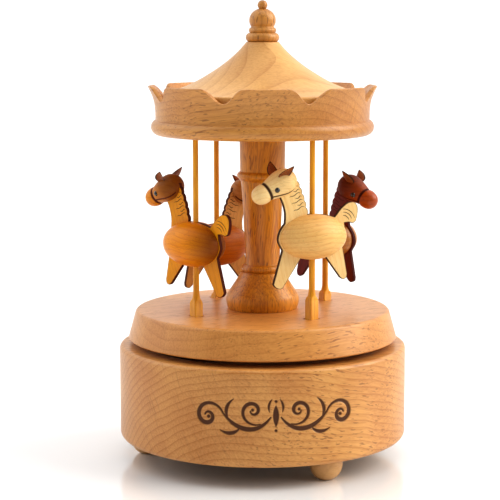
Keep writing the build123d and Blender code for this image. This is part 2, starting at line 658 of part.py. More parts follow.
def scallops(rise, *points):
    """Small arcs from point to point, each bulging to the left of its chord."""
    edges = []
    for (xa, za), (xb, zb) in zip(points, points[1:]):
        chord = sqrt((xb - xa) ** 2 + (zb - za) ** 2)
        x = (xa + xb) / 2 - rise * (zb - za) / chord
        z = (za + zb) / 2 + rise * (xb - xa) / chord
        edges.append(Edge.make_three_point_arc(flat(xa, za), flat(x, z), flat(xb, zb)))
    return edges


def plate_outline(square_leg):
    """The flat plate's outline, from the poll down the face and round to the mane."""
    front = LEGS["square" if square_leg == "front" else "round"]
    rear = [(-x, z) for x, z in reversed(LEGS["square" if square_leg == "rear" else "round"])]
    elbow, crotch_front = (12.3, -4.6), (4.6, -7.3)
    crotch_rear, stifle = (-5.2, -7.6), (-12.3, -4.4)
    tail_root = (-9.0, 6.9)
    edges = [
        *smooth((9.8, 24.9), (12.0, 24.0), (13.8, 21.6)),
        *run((13.8, 21.6), (14.4, 17.2)),
        *smooth((14.4, 17.2), (12.2, 12.9), (11.2, 9.0), (11.3, 5.4)),
        *smooth((11.3, 5.4), (13.3, 2.6), (14.1, -0.6), elbow),
        *run(elbow, front[0]),
        *smooth(*front),
        *run(front[-1], crotch_front),
        *smooth(crotch_front, (0.0, -8.0), crotch_rear),
        *run(crotch_rear, rear[0]),
        *smooth(*rear),
        *run(rear[-1], stifle),
        *smooth(stifle, (-14.0, -0.5), (-13.2, 2.9)),
        *run((-13.2, 2.9), (-12.9, 4.6)),
        *smooth((-12.9, 4.6), (-14.8, 4.7), (-16.6, 4.3), (-17.8, 5.0)),
        *smooth((-17.8, 5.0), (-18.5, 8.0), (-18.3, 10.6), (-17.2, 12.0), (-15.0, 12.1),
                (-12.3, 10.5), tail_root),
        *smooth(tail_root, (-5.5, 7.9), (0.0, 8.3), (2.2, 8.4)),
        *scallops(0.45, (2.2, 8.4), (2.9, 11.0), (3.6, 13.6), (4.5, 16.1), (5.5, 18.6), (6.6, 20.9),
                  (8.0, 23.1), (9.8, 24.9)),
    ]
    return edges


def sawn_plate(square_leg):
    """The flat plate before it is notched."""
    return extrude(Face(Wire(plate_outline(square_leg))), PLATE_T / 2, dir=(0, 1, 0), both=True)


def seat_holes(forward):
    """What the rod and the stem take out of the belly and the plate."""
    upper = tube(ROD_R, 0, BELLY_B - SEAT_DEPTH, BELLY_B + 4)
    lower = tube(STEM_R, 0, -BELLY_B - 4, -BELLY_B + SEAT_DEPTH)
    return Pos(-forward, 0, 0) * (upper + lower)


def belly_half(side):
    """Half of a turned egg, glued on one side of the plate."""
    egg = Pos(0, side * PLATE_T / 2, 0) * scale(Sphere(1.0), by=(BELLY_A, BELLY_C, BELLY_B))
    keep = Pos(0, side * (PLATE_T / 2 + 10), 0) * Box(60, 20, 60)
    return egg & keep


def head():
    """Turned head: a skull, a waist at the noseband and a round muzzle, slotted over the plate."""
    profile = [
        curve((0, -5.2), (2.9, -4.3), (4.6, -1.7), (4.85, 0.9), (4.2, 4.4), (3.4, 7.4),
              start=(1, 0), end=(-0.2, 1)),
        curve((3.4, 7.4), (3.6, 9.6), (2.75, 12.0), (0, 13.4), start=(0.25, 1), end=(-1, 0)),
        line((0, 13.4), (0, -5.2)),
    ]
    lay = Pos(HEAD_BACK) * Rot(0, 90 + HEAD_DIP, 0)
    return lay * turned(*profile) - sawn_plate("none")


EAR_FOOT = (14.5, 3.0, 22.4)
EAR_LEAN_OUT, EAR_LEAN_BACK = 42.0, {1: 32.0, -1: 8.0}


def ear(side):
    """Leaf-shaped ear of thin leather, with its foot on the skull."""
    length, width, thickness = 6.8, 3.3, 0.5
    belly_z = 0.38 * length
    tip = Vector(0, 0, length)
    leaf = [
        Edge.make_spline([Vector(-0.5, 0, 0), Vector(-width / 2, 0, belly_z), tip],
                         tangents=[Vector(-1, 0, 0.8), Vector(0.5, 0, 1)]),
        Edge.make_spline([tip, Vector(width / 2, 0, belly_z), Vector(0.5, 0, 0)],
                         tangents=[Vector(0.5, 0, -1), Vector(-1, 0, -0.8)]),
        Edge.make_line(Vector(0.5, 0, 0), Vector(-0.5, 0, 0)),
    ]
    blade = extrude(Face(Wire(leaf)), thickness / 2, dir=(0, 1, 0), both=True)
    x, y, z = EAR_FOOT
    return Pos(x, side * y, z) * Rot(-side * EAR_LEAN_OUT, 0, 0) * Rot(0, -EAR_LEAN_BACK[side], 0) * blade


EYE_X, EYE_Z, EYE_SIDE, EYE_R = 15.9, 18.2, 3.7, 1.05


def eye(side):
    """Small domed eye let into the head."""
    return Pos(EYE_X, side * EYE_SIDE, EYE_Z) * Rot(-90 * side, 0, 0) * Sphere(EYE_R)


def lower_post(seat, turn):
    """Yellow post: square socket with its follower lug, a flared neck and a round stem."""
    top, bottom = -seat, -seat - SOCKET_LENGTH
    socket = Pos(0, 0, (top + bottom) / 2) * Box(SOCKET_SIDE, SOCKET_SIDE, SOCKET_LENGTH)
    lug_out = LUG_REACH - POLE_CIRCLE_R
    socket += Pos(lug_out / 2, 0, bottom + 0.7) * Box(lug_out, SOCKET_SIDE, 1.4)
    flare_h, stem_top = 5.0, -BELLY_B + SEAT_DEPTH
    neck = [
        line((0, top), (1.8, top)),
        curve((1.8, top), (1.5, top + 1.6), (STEM_R + 0.05, top + 3.4), (STEM_R, top + flare_h),
              start=(-0.1, 1), end=(0, 1)),
        line((STEM_R, top + flare_h), (STEM_R, stem_top)),
        line((STEM_R, stem_top), (0, stem_top)),
        line((0, stem_top), (0, top)),
    ]
    return Rot(0, 0, turn) * (socket + turned(*neck))


def upper_rod(seat):
    """Yellow rod from the belly up into the canopy's blind hole."""
    return tube(ROD_R, 0, BELLY_B - SEAT_DEPTH, ROD_TOP_Z - TABLE_TOP_Z - seat)


def horse_place(name):
    """Where a horse's own frame lies at rest: its heading is clockwise seen from above."""
    angle = HORSE_ANGLES[name]
    x, y = polar(POLE_CIRCLE_R, angle)
    z = TABLE_TOP_Z + ride_height(angle) + HORSE_SEAT[name]
    return Pos(x, y, z) * Rot(0, 0, angle - 90 + HORSE_YAW[name]) * Pos(HORSE_FORWARD[name], 0, 0)


def save_horses():
    """Four horses, each with its plate, two belly halves, head, ears, eyes, rod and post."""
    skull = head()
    halves = {"outer": belly_half(1), "inner": belly_half(-1)}
    ears = group([ear(side) - skull for side in (-1, 1)])
    eyes = group([eye(side) - skull for side in (-1, 1)])
    for name in HORSE_ANGLES:
        place, seat, forward = horse_place(name), HORSE_SEAT[name], HORSE_FORWARD[name]
        on_pole, holes = place * Pos(-forward, 0, 0), seat_holes(forward)
        save(f"horse_{name}_plate", place * (sawn_plate(SQUARE_LEG[name]) - holes))
        for side, half in halves.items():
            save(f"horse_{name}_belly_{side}", place * (half - holes))
        save(f"horse_{name}_head", place * skull)
        save(f"horse_{name}_ears", place * ears)
        save(f"horse_{name}_eyes", place * eyes)
        save(f"pole_{name}_rod", on_pole * upper_rod(seat))
        save(f"pole_{name}_socket", on_pole * lower_post(seat, 90 - HORSE_YAW[name]))


# ---------------------------------------------------------------- build
def main():
    pieces = {
        "base_drum": base_drum,
        "cam_ring": cam_ring,
        "bottom_board": bottom_board,
        "movement_bedplate": movement_bedplate,
        "movement_screws": bed_screws,
        "cylinder_bearings": cylinder_bearings,
        "note_comb": note_comb,
        "comb_screws": comb_screws,
        "governor_bridge": governor_bridge,
        "winding_key": winding_key,
        "winding_arbor": winding_arbor,
        "spring_barrel": spring_barrel,
        "mainspring": mainspring,
        "output_shaft": output_shaft,
        "pinned_cylinder": pinned_cylinder,
        "cylinder_arbor": cylinder_arbor,
        "step_wheel": step_wheel,
        "air_brake": air_brake,
        "turntable_plate": turntable_plate,
        "drive_boss": drive_boss,
        "centre_column": centre_column,
        "canopy_crown": canopy_crown,
        "roof_cone": roof_cone,
        "finial": finial,
    }
    for name, make in pieces.items():
        save(name, make())
    for name, angle in FOOT_ANGLES.items():
        save(name, foot_place(angle) * foot())
    save_horses()


main()
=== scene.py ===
# %% [markdown]
# # A wooden carousel music box
# The CAD model is the fixed frame: every size, joint and place comes from it. This lesson
# dresses that frame. Most visible pieces are turned or sawn wood, so most of them are
# surfaces worked out with numpy from a profile, and the wood is a solid pattern that runs
# through each block, as real grain does.

# %% Load the frame
import json
import math

import bpy
import numpy as np
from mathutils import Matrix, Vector
from mathutils.geometry import tessellate_polygon


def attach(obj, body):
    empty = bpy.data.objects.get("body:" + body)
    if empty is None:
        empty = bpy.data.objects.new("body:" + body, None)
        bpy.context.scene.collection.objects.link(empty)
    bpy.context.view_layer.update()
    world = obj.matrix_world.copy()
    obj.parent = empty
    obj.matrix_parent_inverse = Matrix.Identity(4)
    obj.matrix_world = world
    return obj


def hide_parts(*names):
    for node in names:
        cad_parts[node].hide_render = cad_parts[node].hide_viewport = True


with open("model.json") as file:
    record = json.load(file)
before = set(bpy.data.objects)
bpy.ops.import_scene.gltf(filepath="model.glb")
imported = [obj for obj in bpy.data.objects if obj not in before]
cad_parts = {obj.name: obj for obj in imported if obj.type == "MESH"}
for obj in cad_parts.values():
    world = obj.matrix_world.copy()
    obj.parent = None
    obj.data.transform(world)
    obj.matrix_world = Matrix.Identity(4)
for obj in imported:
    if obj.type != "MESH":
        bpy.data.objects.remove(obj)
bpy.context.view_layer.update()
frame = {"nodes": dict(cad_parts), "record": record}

record = frame["record"]
body_of_node = {n: b for b, nodes in record["behaviour"]["bodies"].items() for n in nodes}
slot_of_node = {row["node"]: row["material_slot"] for row in record["subparts"]}

# %% [markdown]
# ## The camera
# A long lens far away keeps the drum's ellipses flat. It stands 631 mm in front of the axis
# and 166 mm up, and looks down by 7.8 degrees. A small shift puts the box a little right of
# the middle.

# %% Camera
MM = 0.001
camera = bpy.data.objects.new("camera", bpy.data.cameras.new("camera"))
camera.location = (0.0, -631 * MM, 166 * MM)
camera.rotation_euler = (math.radians(90 - 7.80), 0.0, 0.0)
camera.data.sensor_width = 36.0
camera.data.lens = 119.4
camera.data.shift_x = -0.025
camera.data.clip_start, camera.data.clip_end = 0.02, 20.0
bpy.context.scene.collection.objects.link(camera)
bpy.context.scene.camera = camera
bpy.context.scene.view_settings.view_transform = "Standard"
bpy.context.scene.view_settings.look = "None"
bpy.context.scene.view_settings.exposure = 0.0
bpy.context.scene.view_settings.gamma = 0.83

# %% [markdown]
# ## Surfaces from numbers
# A surface is a grid of points: rows run along a profile and columns run round it. A piece
# is a few such grids. Points that coincide are welded, so seams and poles close, and each
# point may carry a number called tone, which says how burnt or worn the surface is there,
# and on the horses' eggs and heads how much painted shade it carries.

# %% Grids and shells
def grid_quads(rows, columns, start):
    """Corner numbers of every quad in a grid whose points are numbered row by row."""
    number = start + np.arange(rows * columns).reshape(rows, columns)
    return np.stack([number[:-1, :-1], number[:-1, 1:], number[1:, 1:], number[1:, :-1]], -1).reshape(-1, 4)


class Shell:
    """Surfaces that make one piece, in millimetres."""

    def __init__(self):
        self.points, self.tones, self.quads, self.finishes = [], [], [], []
        self.count = 0

    def add(self, grid, tone=0.0, finish=0, flip=False):
        """Adds a grid of shape (rows, columns, 3); flip turns its faces over."""
        rows, columns = grid.shape[:2]
        quads = grid_quads(rows, columns, self.count)
        self.quads.append(quads[:, ::-1] if flip else quads)
        self.points.append(grid.reshape(-1, 3))
        self.tones.append(np.broadcast_to(tone, (rows, columns)).reshape(-1))
        self.finishes.append(np.full(len(quads), finish))
        self.count += rows * columns
        return self

    def cap(self, loop, finish=0, flip=False, tone=0.0):
        """Closes a flat loop of points of any outline with triangles."""
        own = np.array(tessellate_polygon([[Vector(p) for p in loop]]))
        across = np.cross(loop[own[:, 1]] - loop[own[:, 0]], loop[own[:, 2]] - loop[own[:, 0]])
        turned_over = (across @ np.cross(loop[1] - loop[0], loop[2] - loop[1]) < 0) ^ flip
        own[turned_over] = own[turned_over][:, ::-1]
        corners = own + self.count
        self.quads.append(np.hstack([corners, corners[:, 2:]]))
        self.points.append(loop)
        self.tones.append(np.full(len(loop), tone))
        self.finishes.append(np.full(len(corners), finish))
        self.count += len(loop)
        return self

    def moved(self, place):
        """Carries all points by a function of an (n, 3) array."""
        self.points = [place(p) for p in self.points]
        return self

    def build(self, name, nodes, finishes, sharp=38.0, body=None):
        """Welds the points, makes the mesh and lets it stand for the CAD nodes."""
        points, quads = np.concatenate(self.points), np.concatenate(self.quads)
        tones, chosen = np.concatenate(self.tones), np.concatenate(self.finishes)
        _, first, kept = np.unique(np.round(points, 4) + 0.0, axis=0, return_index=True, return_inverse=True)
        quads = kept.reshape(-1)[quads]
        repeated = quads == np.roll(quads, -1, axis=1)
        sides = 4 - repeated.sum(axis=1)
        four, three = quads[sides == 4], quads[sides == 3][~repeated[sides == 3]].reshape(-1, 3)
        mesh = bpy.data.meshes.new(name)
        mesh.from_pydata((points[first] * MM).tolist(), [], four.tolist() + three.tolist())
        tone = mesh.attributes.new("tone", "FLOAT", "POINT")
        tone.data.foreach_set("value", tones[first].astype(np.float32))
        used = np.concatenate([chosen[sides == 4], chosen[sides == 3]])
        mesh.polygons.foreach_set("material_index", used)
        mesh.shade_smooth()
        mesh.set_sharp_from_angle(angle=math.radians(sharp))
        for finish in finishes:
            mesh.materials.append(finish.material)
        piece = bpy.data.objects.new(name, mesh)
        bpy.context.scene.collection.objects.link(piece)
        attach(piece, body or body_of_node[nodes[0]])
        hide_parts(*nodes)
        print(f"{name}: {len(mesh.vertices)} points, {len(mesh.polygons)} faces")
        return piece


# %% [markdown]
# ## Profiles
# A turner thinks in coves, beads and straight cuts. The same three strokes make every
# profile here: a line, an arc through three points, and a smooth curve through several.

# %% Profile strokes
def line(a, b):
    """The two ends of a straight cut."""
    return np.array([a, b], float)


def arc(a, middle, b, steps=14):
    """Points of the circle through three points: the centre solves two linear equations."""
    a, middle, b = (np.array(p, float) for p in (a, middle, b))
    sides = 2 * np.array([middle - a, b - a])
    centre = np.linalg.solve(sides, [middle @ middle - a @ a, b @ b - a @ a])
    start, through, end = (math.atan2(*(p - centre)[::-1]) for p in (a, middle, b))
    sweep, to_middle = (end - start) % math.tau, (through - start) % math.tau
    if to_middle > sweep:
        sweep -= math.tau
    angle = start + np.linspace(0, sweep, steps)
    radius = np.linalg.norm(a - centre)
    return centre + radius * np.stack([np.cos(angle), np.sin(angle)], -1)


def curve(*points, start=None, end=None, steps=8):
    """A smooth curve: on each span a cubic that leaves and arrives along its neighbours' chord."""
    p = np.array(points, float)
    chord = np.linalg.norm(np.diff(p, axis=0), axis=1)
    slope = np.gradient(p, np.concatenate([[0], np.cumsum(chord)]), axis=0)
    for index, given in ((0, start), (-1, end)):
        if given:
            slope[index] = np.array(given) / np.linalg.norm(given)
    t = np.linspace(0, 1, steps)[None, :, None]
    a, b = p[:-1, None], p[1:, None]
    ta, tb = slope[:-1, None] * chord[:, None, None], slope[1:, None] * chord[:, None, None]
    spans = (2 * t**3 - 3 * t**2 + 1) * a + (t**3 - 2 * t**2 + t) * ta
    spans += (3 * t**2 - 2 * t**3) * b + (t**3 - t**2) * tb
    return spans.reshape(-1, p.shape[1])


def trace(*strokes, ease=0.3):
    """Joins strokes into one profile and rounds its corners a little, as sanding does."""
    joined = np.concatenate(strokes)
    step = np.linalg.norm(np.diff(joined, axis=0), axis=1)
    joined = joined[np.concatenate([[True], step > 1e-6])]
    out = [joined[0]]
    for before, corner, after in zip(joined, joined[1:], joined[2:]):
        u, v = before - corner, after - corner
        nu, nv = np.linalg.norm(u), np.linalg.norm(v)
        if u @ v < -0.92 * nu * nv:
            out.append(corner)
            continue
        cut = min(ease, 0.45 * nu, 0.45 * nv)
        a, b = corner + u / nu * cut, corner + v / nv * cut
        out += [(1 - t) ** 2 * a + 2 * t * (1 - t) * corner + t**2 * b for t in (0, 0.25, 0.5, 0.75, 1)]
    out.append(joined[-1])
    return np.array(out)


def round_the_axis(profile, angles):
    """Swings a profile of (radius, height) round Z: x = r cos a, y = r sin a, z = height."""
    r, z = profile[:, :1], profile[:, 1:]
    grid = np.stack([r * np.cos(angles), r * np.sin(angles), z + 0 * angles], -1)
    if abs(angles[-1] - angles[0]) > math.tau - 1e-6:
        grid[:, -1] = grid[:, 0]
    return grid


FULL_TURN = np.linspace(-math.pi, math.pi, 257)


# %% [markdown]
# ## Finishes as expressions
# A wire is one output of a shader node. Arithmetic between wires adds Math nodes, so a
# formula for the grain reads as a formula. Every other node comes from one method.

# %% Wires and finishes
class Wire:
    """One node output that carries a value."""

    def __init__(self, finish, socket):
        self.finish, self.socket = finish, socket

    def math(self, operation, *values):
        return self.finish.node("Math", {"operation": operation}, dict(enumerate(values)))

    def __add__(self, other):
        return self.math("ADD", self, other)

    def __sub__(self, other):
        return self.math("SUBTRACT", self, other)

    def __rsub__(self, other):
        return self.math("SUBTRACT", other, self)

    def __mul__(self, other):
        return self.math("MULTIPLY", self, other)

    def __truediv__(self, other):
        return self.math("DIVIDE", self, other)

    def __pow__(self, other):
        return self.math("POWER", self, other)

    __radd__, __rmul__ = __add__, __mul__

    def fraction(self):
        return self.math("FRACT", self)

    def step(self, low, high):
        """0 below low, 1 above high, smooth between."""
        settings = {"interpolation_type": "SMOOTHSTEP"}
        return self.finish.node("MapRange", settings, {0: self, 1: low, 2: high, 3: 0.0, 4: 1.0})


class Finish:
    """A material under construction."""

    def __init__(self, name, **constants):
        self.material = bpy.data.materials.new(name)
        self.material.use_nodes = True
        self.tree = self.material.node_tree
        self.tree.nodes.clear()
        self.shader = self.tree.nodes.new("ShaderNodeBsdfPrincipled")
        self.end = self.tree.nodes.new("ShaderNodeOutputMaterial")
        self.tree.links.new(self.shader.outputs[0], self.end.inputs[0])
        for socket, value in constants.items():
            self.shader.inputs[socket.replace("_", " ")].default_value = value

    def node(self, kind, settings=None, values=None, output=0):
        """Adds one node: its settings first, then the values or wires of its inputs."""
        made = self.tree.nodes.new("ShaderNode" + kind)
        for name, value in (settings or {}).items():
            setattr(made, name, value)
        for key, value in (values or {}).items():
            self.put(value, made.inputs[key])
        return Wire(self, made.outputs[output])

    def put(self, value, socket):
        """Links a wire to a socket, or sets the socket to a number or colour."""
        if isinstance(value, Wire):
            self.tree.links.new(value.socket, socket)
        else:
            socket.default_value = value

    def feed(self, **wires):
        for name, wire in wires.items():
            self.put(wire, self.shader.inputs[name.replace("_", " ")])
        return self

    def noise(self, at, scale=1.0, detail=2.0, rough=0.5, output=0):
        values = {"Vector": at, "Scale": scale, "Detail": detail, "Roughness": rough}
        return self.node("TexNoise", None, values, output)

    def mix(self, share, a, b):
        return self.node("Mix", {"data_type": "RGBA"}, {0: share, 6: a, 7: b}, 2)

    def vector(self, operation, *values, output=0):
        return self.node("VectorMath", {"operation": operation}, dict(enumerate(values)), output)

    def bump(self, height, distance):
        return self.node("Bump", None, {"Strength": 1.0, "Distance": distance * MM, "Height": height})

    def place(self, turn=(0, 0, 0), shift=(0, 0, 0)):
        """Object coordinates in millimetres, turned and then shifted."""
        values = {0: self.node("TexCoord", None, None, 3), 1: shift, 2: turn, 3: (1000, 1000, 1000)}
        return self.node("Mapping", {"vector_type": "POINT"}, values)

    def tone(self):
        return self.node("Attribute", {"attribute_name": "tone"}, None, 2)


def paint(red, green, blue):
    """A colour as a paint chart gives it, from 0 to 255, made linear."""
    c = np.array([red, green, blue]) / 255
    linear = np.where(c <= 0.04045, c / 12.92, ((c + 0.055) / 1.055) ** 2.4)
    return (*linear.tolist(), 1.0)


# %% [markdown]
# ## Solid wood
# Real grain runs through a block. The fibres lie along one direction, and growth rings are
# cylinders round the pith, which is some way outside the piece. Beech shows its rays as
# short dark flecks: thin round the pith, long along the fibre, and deep along the radius.
# Worked out in those coordinates, one formula gives rings on end grain, dashes on the
# flat-sawn side, and fine lines where the two meet.

# %% Wood
def wood(name, light, dark, fleck, fibre, pith, ring=3.0, rings=0.5, flecks=0.7, rays=0.35, streaks=0.35,
         blotches=0.35, burn_and_shade_colour=(92, 54, 26), rough=0.40, end_dark=0.25, fleck_size=(0.30, 2.6), coat=0.45,
         sheen=0.45):
    """Wood whose fibres run along fibre, with its pith through the point pith, in millimetres."""
    f = Finish(name, Coat_Roughness=0.32, Specular_IOR_Level=sheen)
    along = Vector(fibre).normalized()
    turn = along.rotation_difference(Vector((0, 0, 1)))
    at = f.place(tuple(turn.to_euler()), tuple(-(turn @ Vector(pith))))
    wander = f.vector("SUBTRACT", f.noise(at, 0.035, 2.0, output=1), (0.5, 0.5, 0.5))
    bent = f.vector("ADD", at, f.vector("MULTIPLY", wander, (6.0, 6.0, 0.0)))
    flat = f.vector("MULTIPLY", bent, (1.0, 1.0, 0.0))
    radius = f.vector("LENGTH", flat, output=1)
    x, y, z = (f.node("SeparateXYZ", None, {0: bent}, k) for k in range(3))
    late = (radius / ring).fraction() ** 5.0
    swing = math.hypot(*(turn @ Vector(pith)).xy) or 40.0
    round_pith = f.node("Math", {"operation": "ARCTAN2"}, {0: y, 1: x}) * swing
    thin, long = fleck_size
    fleck_at = f.vector("MULTIPLY", bent, (0.5 / thin, 0.5 / thin, 0.5 / long))
    crowd = f.noise(at, 0.06, 1.0) * 0.12
    fleck_mask = (f.noise(fleck_at, 1.0, 1.0) + crowd).step(0.66, 0.78)
    ray_at = f.node("CombineXYZ", None, {0: round_pith / 0.5, 1: radius / 22.0, 2: z / 6.0})
    ray = f.noise(ray_at, 1.0, 2.0).step(0.55, 0.72)
    streak_at = f.vector("MULTIPLY", bent, (1.6, 1.6, 0.06))
    streak = f.noise(streak_at, 1.0, 3.0, 0.6).step(0.35, 0.75)
    blotch = f.noise(at, 0.045, 2.0).step(0.3, 0.7)
    facing = f.vector("DOT_PRODUCT", f.node("TexCoord", None, None, 1), tuple(along), output=1)
    end_grain = facing * facing
    shade = late * rings + streak * streaks + blotch * blotches + end_grain * end_dark
    colour = f.mix(shade.math("MINIMUM", shade, 1.0), paint(*light), paint(*dark))
    marks = fleck_mask * (1 - end_grain) * flecks + ray * end_grain * rays
    colour = f.mix(marks, colour, paint(*fleck))
    tone = f.tone()
    # Tone turns the colour dark: on engraved and laser-burnt marks that is burnt wood, and on the horses'
    # eggs and heads it is painted shade.
    colour = f.mix(tone, colour, paint(*burn_and_shade_colour))
    f.feed(Base_Color=colour, Roughness=marks * 0.12 + streak * 0.06 + tone * 0.25 + rough)
    f.feed(Coat_Weight=(1 - tone) * coat)
    f.feed(Normal=f.bump(late * 0.5 + streak * 0.25 - marks, 0.03))
    return f


# %% [markdown]
# ## The finishes of this box
# Each block was cut another way, so each gets its own fibre direction and pith. The drum
# shows end grain at its left and flat grain at its right; the column stands along its
# fibres; the roof is blond with broad arcs.

# %% Wood finishes
BEECH = ((224, 168, 96), (186, 118, 48), (144, 86, 32))
drum_wood = wood("drum_beech", *BEECH, fibre=(0.80, 0.56, -0.20), pith=(62, -46, -92), ring=2.5, rings=0.55)
table_wood = wood("turntable_beech", (225, 164, 89), (189, 121, 50), (151, 89, 34),
                  fibre=(0.86, 0.50, 0.0), pith=(0, -20, 120), ring=3.6, rings=0.3)
column_wood = wood("column_beech", (233, 164, 36), (182, 110, 14), (133, 73, 8),
                   fibre=(0.03, 0.0, 1.0), pith=(30, 44, 0), ring=2.6, rings=0.3, streaks=0.7)
canopy_wood = wood("canopy_beech", (217, 157, 79), (174, 108, 36), (136, 79, 25),
                   fibre=(0.90, -0.42, 0.10), pith=(30, -60, 60), ring=2.6, rings=0.4)
roof_wood = wood("roof_beech", (233, 183, 108), (199, 139, 63), (176, 116, 52),
                 fibre=(0.86, 0.30, -0.42), pith=(-30, 40, 96), ring=5.2, rings=0.42, flecks=0.25)
finial_wood = wood("finial_beech", (222, 160, 74), (166, 104, 36), (128, 76, 26),
                   fibre=(0.1, 0.0, 1.0), pith=(9, 12, 0), ring=1.8)
foot_wood = wood("foot_maple", (222, 176, 116), (196, 144, 84), (168, 116, 62),
                 fibre=(1.0, 0.3, 0.0), pith=(0, 30, 60), ring=2.4, rings=0.25, flecks=0.3)
raw_beech = wood("raw_beech", (150, 100, 58), (116, 74, 38), (96, 58, 28),
                 fibre=(1.0, 0.2, 0.0), pith=(0, 60, -30), rough=0.6, coat=0.0)


# %% [markdown]
# ## The drum
# The drum is one turned ring. Its front carries a laser-engraved ornament: a plain scroll
# with curls and leaves. Each stroke of the scroll is a line of discs that swell and thin
# out. A point's depth follows from how far it lies inside the nearest disc, so the strokes
# are real grooves in the wood.

# %% The engraved scroll
def bezier(a, b, c, d, thin, thick, steps=90):
    """A cubic Bezier stroke with its half width, which swells in the middle."""
    t = np.linspace(0, 1, steps)[:, None]
    p = (1 - t) ** 3 * np.array(a) + 3 * t * (1 - t) ** 2 * np.array(b)
    p = p + 3 * t**2 * (1 - t) * np.array(c) + t**3 * np.array(d)
    return np.hstack([p, thin + (thick - thin) * np.sin(math.pi * t)])


def curl(centre, wide, tight, start, turn, thin, thick, steps=200):
    """A stroke that winds inwards: its radius shrinks by the same share on every degree."""
    t = np.linspace(0, 1, steps)
    radius, angle = wide * (tight / wide) ** t, np.radians(start + turn * t)
    half = thin + (thick - thin) * np.sin(math.pi * t**0.8) ** 1.3
    return np.stack([centre[0] + radius * np.cos(angle), centre[1] + radius * np.sin(angle), half], -1)


def dot(x, y, radius):
    return np.array([[x, y, radius]])


def scroll_strokes():
    """Half of the scroll and its mirror image, round a small leaf in the middle."""
    half = [
        bezier((2.2, -0.6), (8.0, -8.6), (16.5, -6.2), (22.0, 1.0), 0.35, 1.0),
        curl((28.6, -0.6), 6.8, 1.3, 166, -500, 0.4, 0.95),
        dot(28.2, -0.9, 0.75),
        curl((9.4, 2.2), 6.4, 1.1, -118, 470, 0.3, 0.8),
        dot(9.6, 2.6, 0.65),
        bezier((14.8, -4.9), (17.0, -8.0), (20.5, -8.0), (23.2, -6.2), 0.12, 0.8),
        bezier((19.4, -2.0), (21.6, 1.4), (20.6, 4.8), (17.4, 7.0), 0.12, 0.75),
        bezier((2.6, 1.6), (3.4, 3.6), (2.9, 5.6), (1.6, 7.0), 0.1, 0.5),
    ]
    middle = [bezier((0, -4.4), (0, -2), (0, 2), (0, 4.4), 0.08, 1.25), dot(0, 6.1, 0.6), dot(0, -6.1, 0.6)]
    mirrored = [s * np.array([-1, 1, 1]) for s in half]
    return np.concatenate(half + mirrored + middle)


def engraved(across, up, edge=0.16, size=0.87):
    """1 inside a stroke, 0 outside, smooth over the edge. Worked out in slices to save memory."""
    strokes = scroll_strokes() * size
    inside = np.full(across.shape, -1e3)
    for part in np.array_split(strokes, 24):
        gap = np.hypot(across[..., None] - part[:, 0], up[..., None] - part[:, 1])
        inside = np.maximum(inside, (part[:, 2] - gap).max(axis=-1))
    share = np.clip(inside / edge * 0.5 + 0.5, 0, 1)
    return share * share * (3 - 2 * share)


# %% [markdown]
# ## The drum's ring
# The ring is turned with rounded edges, a ledge for the cam and a rebate for the board.
# Its wall carries a finer grid where the scroll is, a fifth of a millimetre apart, and each
# point there moves towards the axis by the depth of the scroll.

# %% Drum
DRUM_R, SCROLL_X, SCROLL_Z, SCROLL_DEPTH = 54.98, 4.8, 27.4, 0.35
wall_heights = np.concatenate([np.linspace(10.4, 18.4, 8), np.arange(18.6, 36.3, 0.2),
                               np.linspace(36.5, 42.3, 6)])
drum_profile = np.concatenate([
    trace(line((42, 12.5), (49.8, 12.5)), line((49.8, 12.5), (49.8, 8)), line((49.8, 8), (52.6, 8)),
          arc((52.6, 8), (54.28, 8.703), (DRUM_R, 10.4))),
    np.stack([np.full(len(wall_heights), DRUM_R), wall_heights], -1),
    trace(arc((DRUM_R, 42.3), (54.51, 43.43), (53.4, 43.9)), line((53.4, 43.9), (45, 43.9)),
          line((45, 43.9), (44, 42.9)), line((44, 42.9), (44, 30)), line((44, 30), (42, 30)),
          line((42, 30), (42, 12.5))),
])
fine = np.arange(-28.4, 38.01, 0.2) / DRUM_R
coarse = np.linspace(fine[-1], math.tau + fine[0], 170)
drum_angles = np.concatenate([fine, coarse[1:]]) - math.pi / 2
drum_grid = round_the_axis(drum_profile, drum_angles)
across = (drum_angles + math.pi / 2) * DRUM_R
front = (drum_profile[:, 0] > DRUM_R - 1e-6)[:, None] & (across < 38.0)[None, :]
cut = np.zeros(drum_grid.shape[:2])
sheet_x, sheet_z = np.broadcast_arrays(across[None, :] - SCROLL_X, drum_profile[:, 1:] - SCROLL_Z)
cut[front] = engraved(sheet_x[front], sheet_z[front])
drum_grid[..., :2] *= (1 - cut * SCROLL_DEPTH / DRUM_R)[..., None]
Shell().add(drum_grid, tone=cut).build("drum_turned", ["base_drum"], [drum_wood])
print("engraved share of the wall:", round(float(cut[front].mean()), 3))


# %% [markdown]
# ## Turned discs with holes
# The turntable and the canopy are turned, then cut through or drilled at four places a
# quarter turn apart. Each quarter of the flat face is a grid of rings that change from the
# hole's outline to the quarter's own border. A ring's points keep their direction from the
# hole's centre, so the faces never cross.

# %% Quarters round a hole
HORSE_ANGLES = {"front_right": -53.6, "front_left": -143.6, "back_left": 126.4, "back_right": 36.4}
POLE_R = 30.8
QUARTER = 96
TABLE_Z = 57.2


def quarter_border(inner, outer, middle_angle):
    """The closed border of a quarter of a ring, counterclockwise, with its last point repeated."""
    angles = math.radians(middle_angle) + np.linspace(-math.pi / 4, math.pi / 4, QUARTER + 1)
    rim = np.stack([np.cos(angles), np.sin(angles)], -1)
    share = np.linspace(0, 1, 25)[:, None]
    right, left = (inner + (outer - inner) * share) * rim[0], (outer + (inner - outer) * share) * rim[-1]
    return np.concatenate([right[:-1], outer * rim[:-1], left[:-1], inner * rim[::-1]])


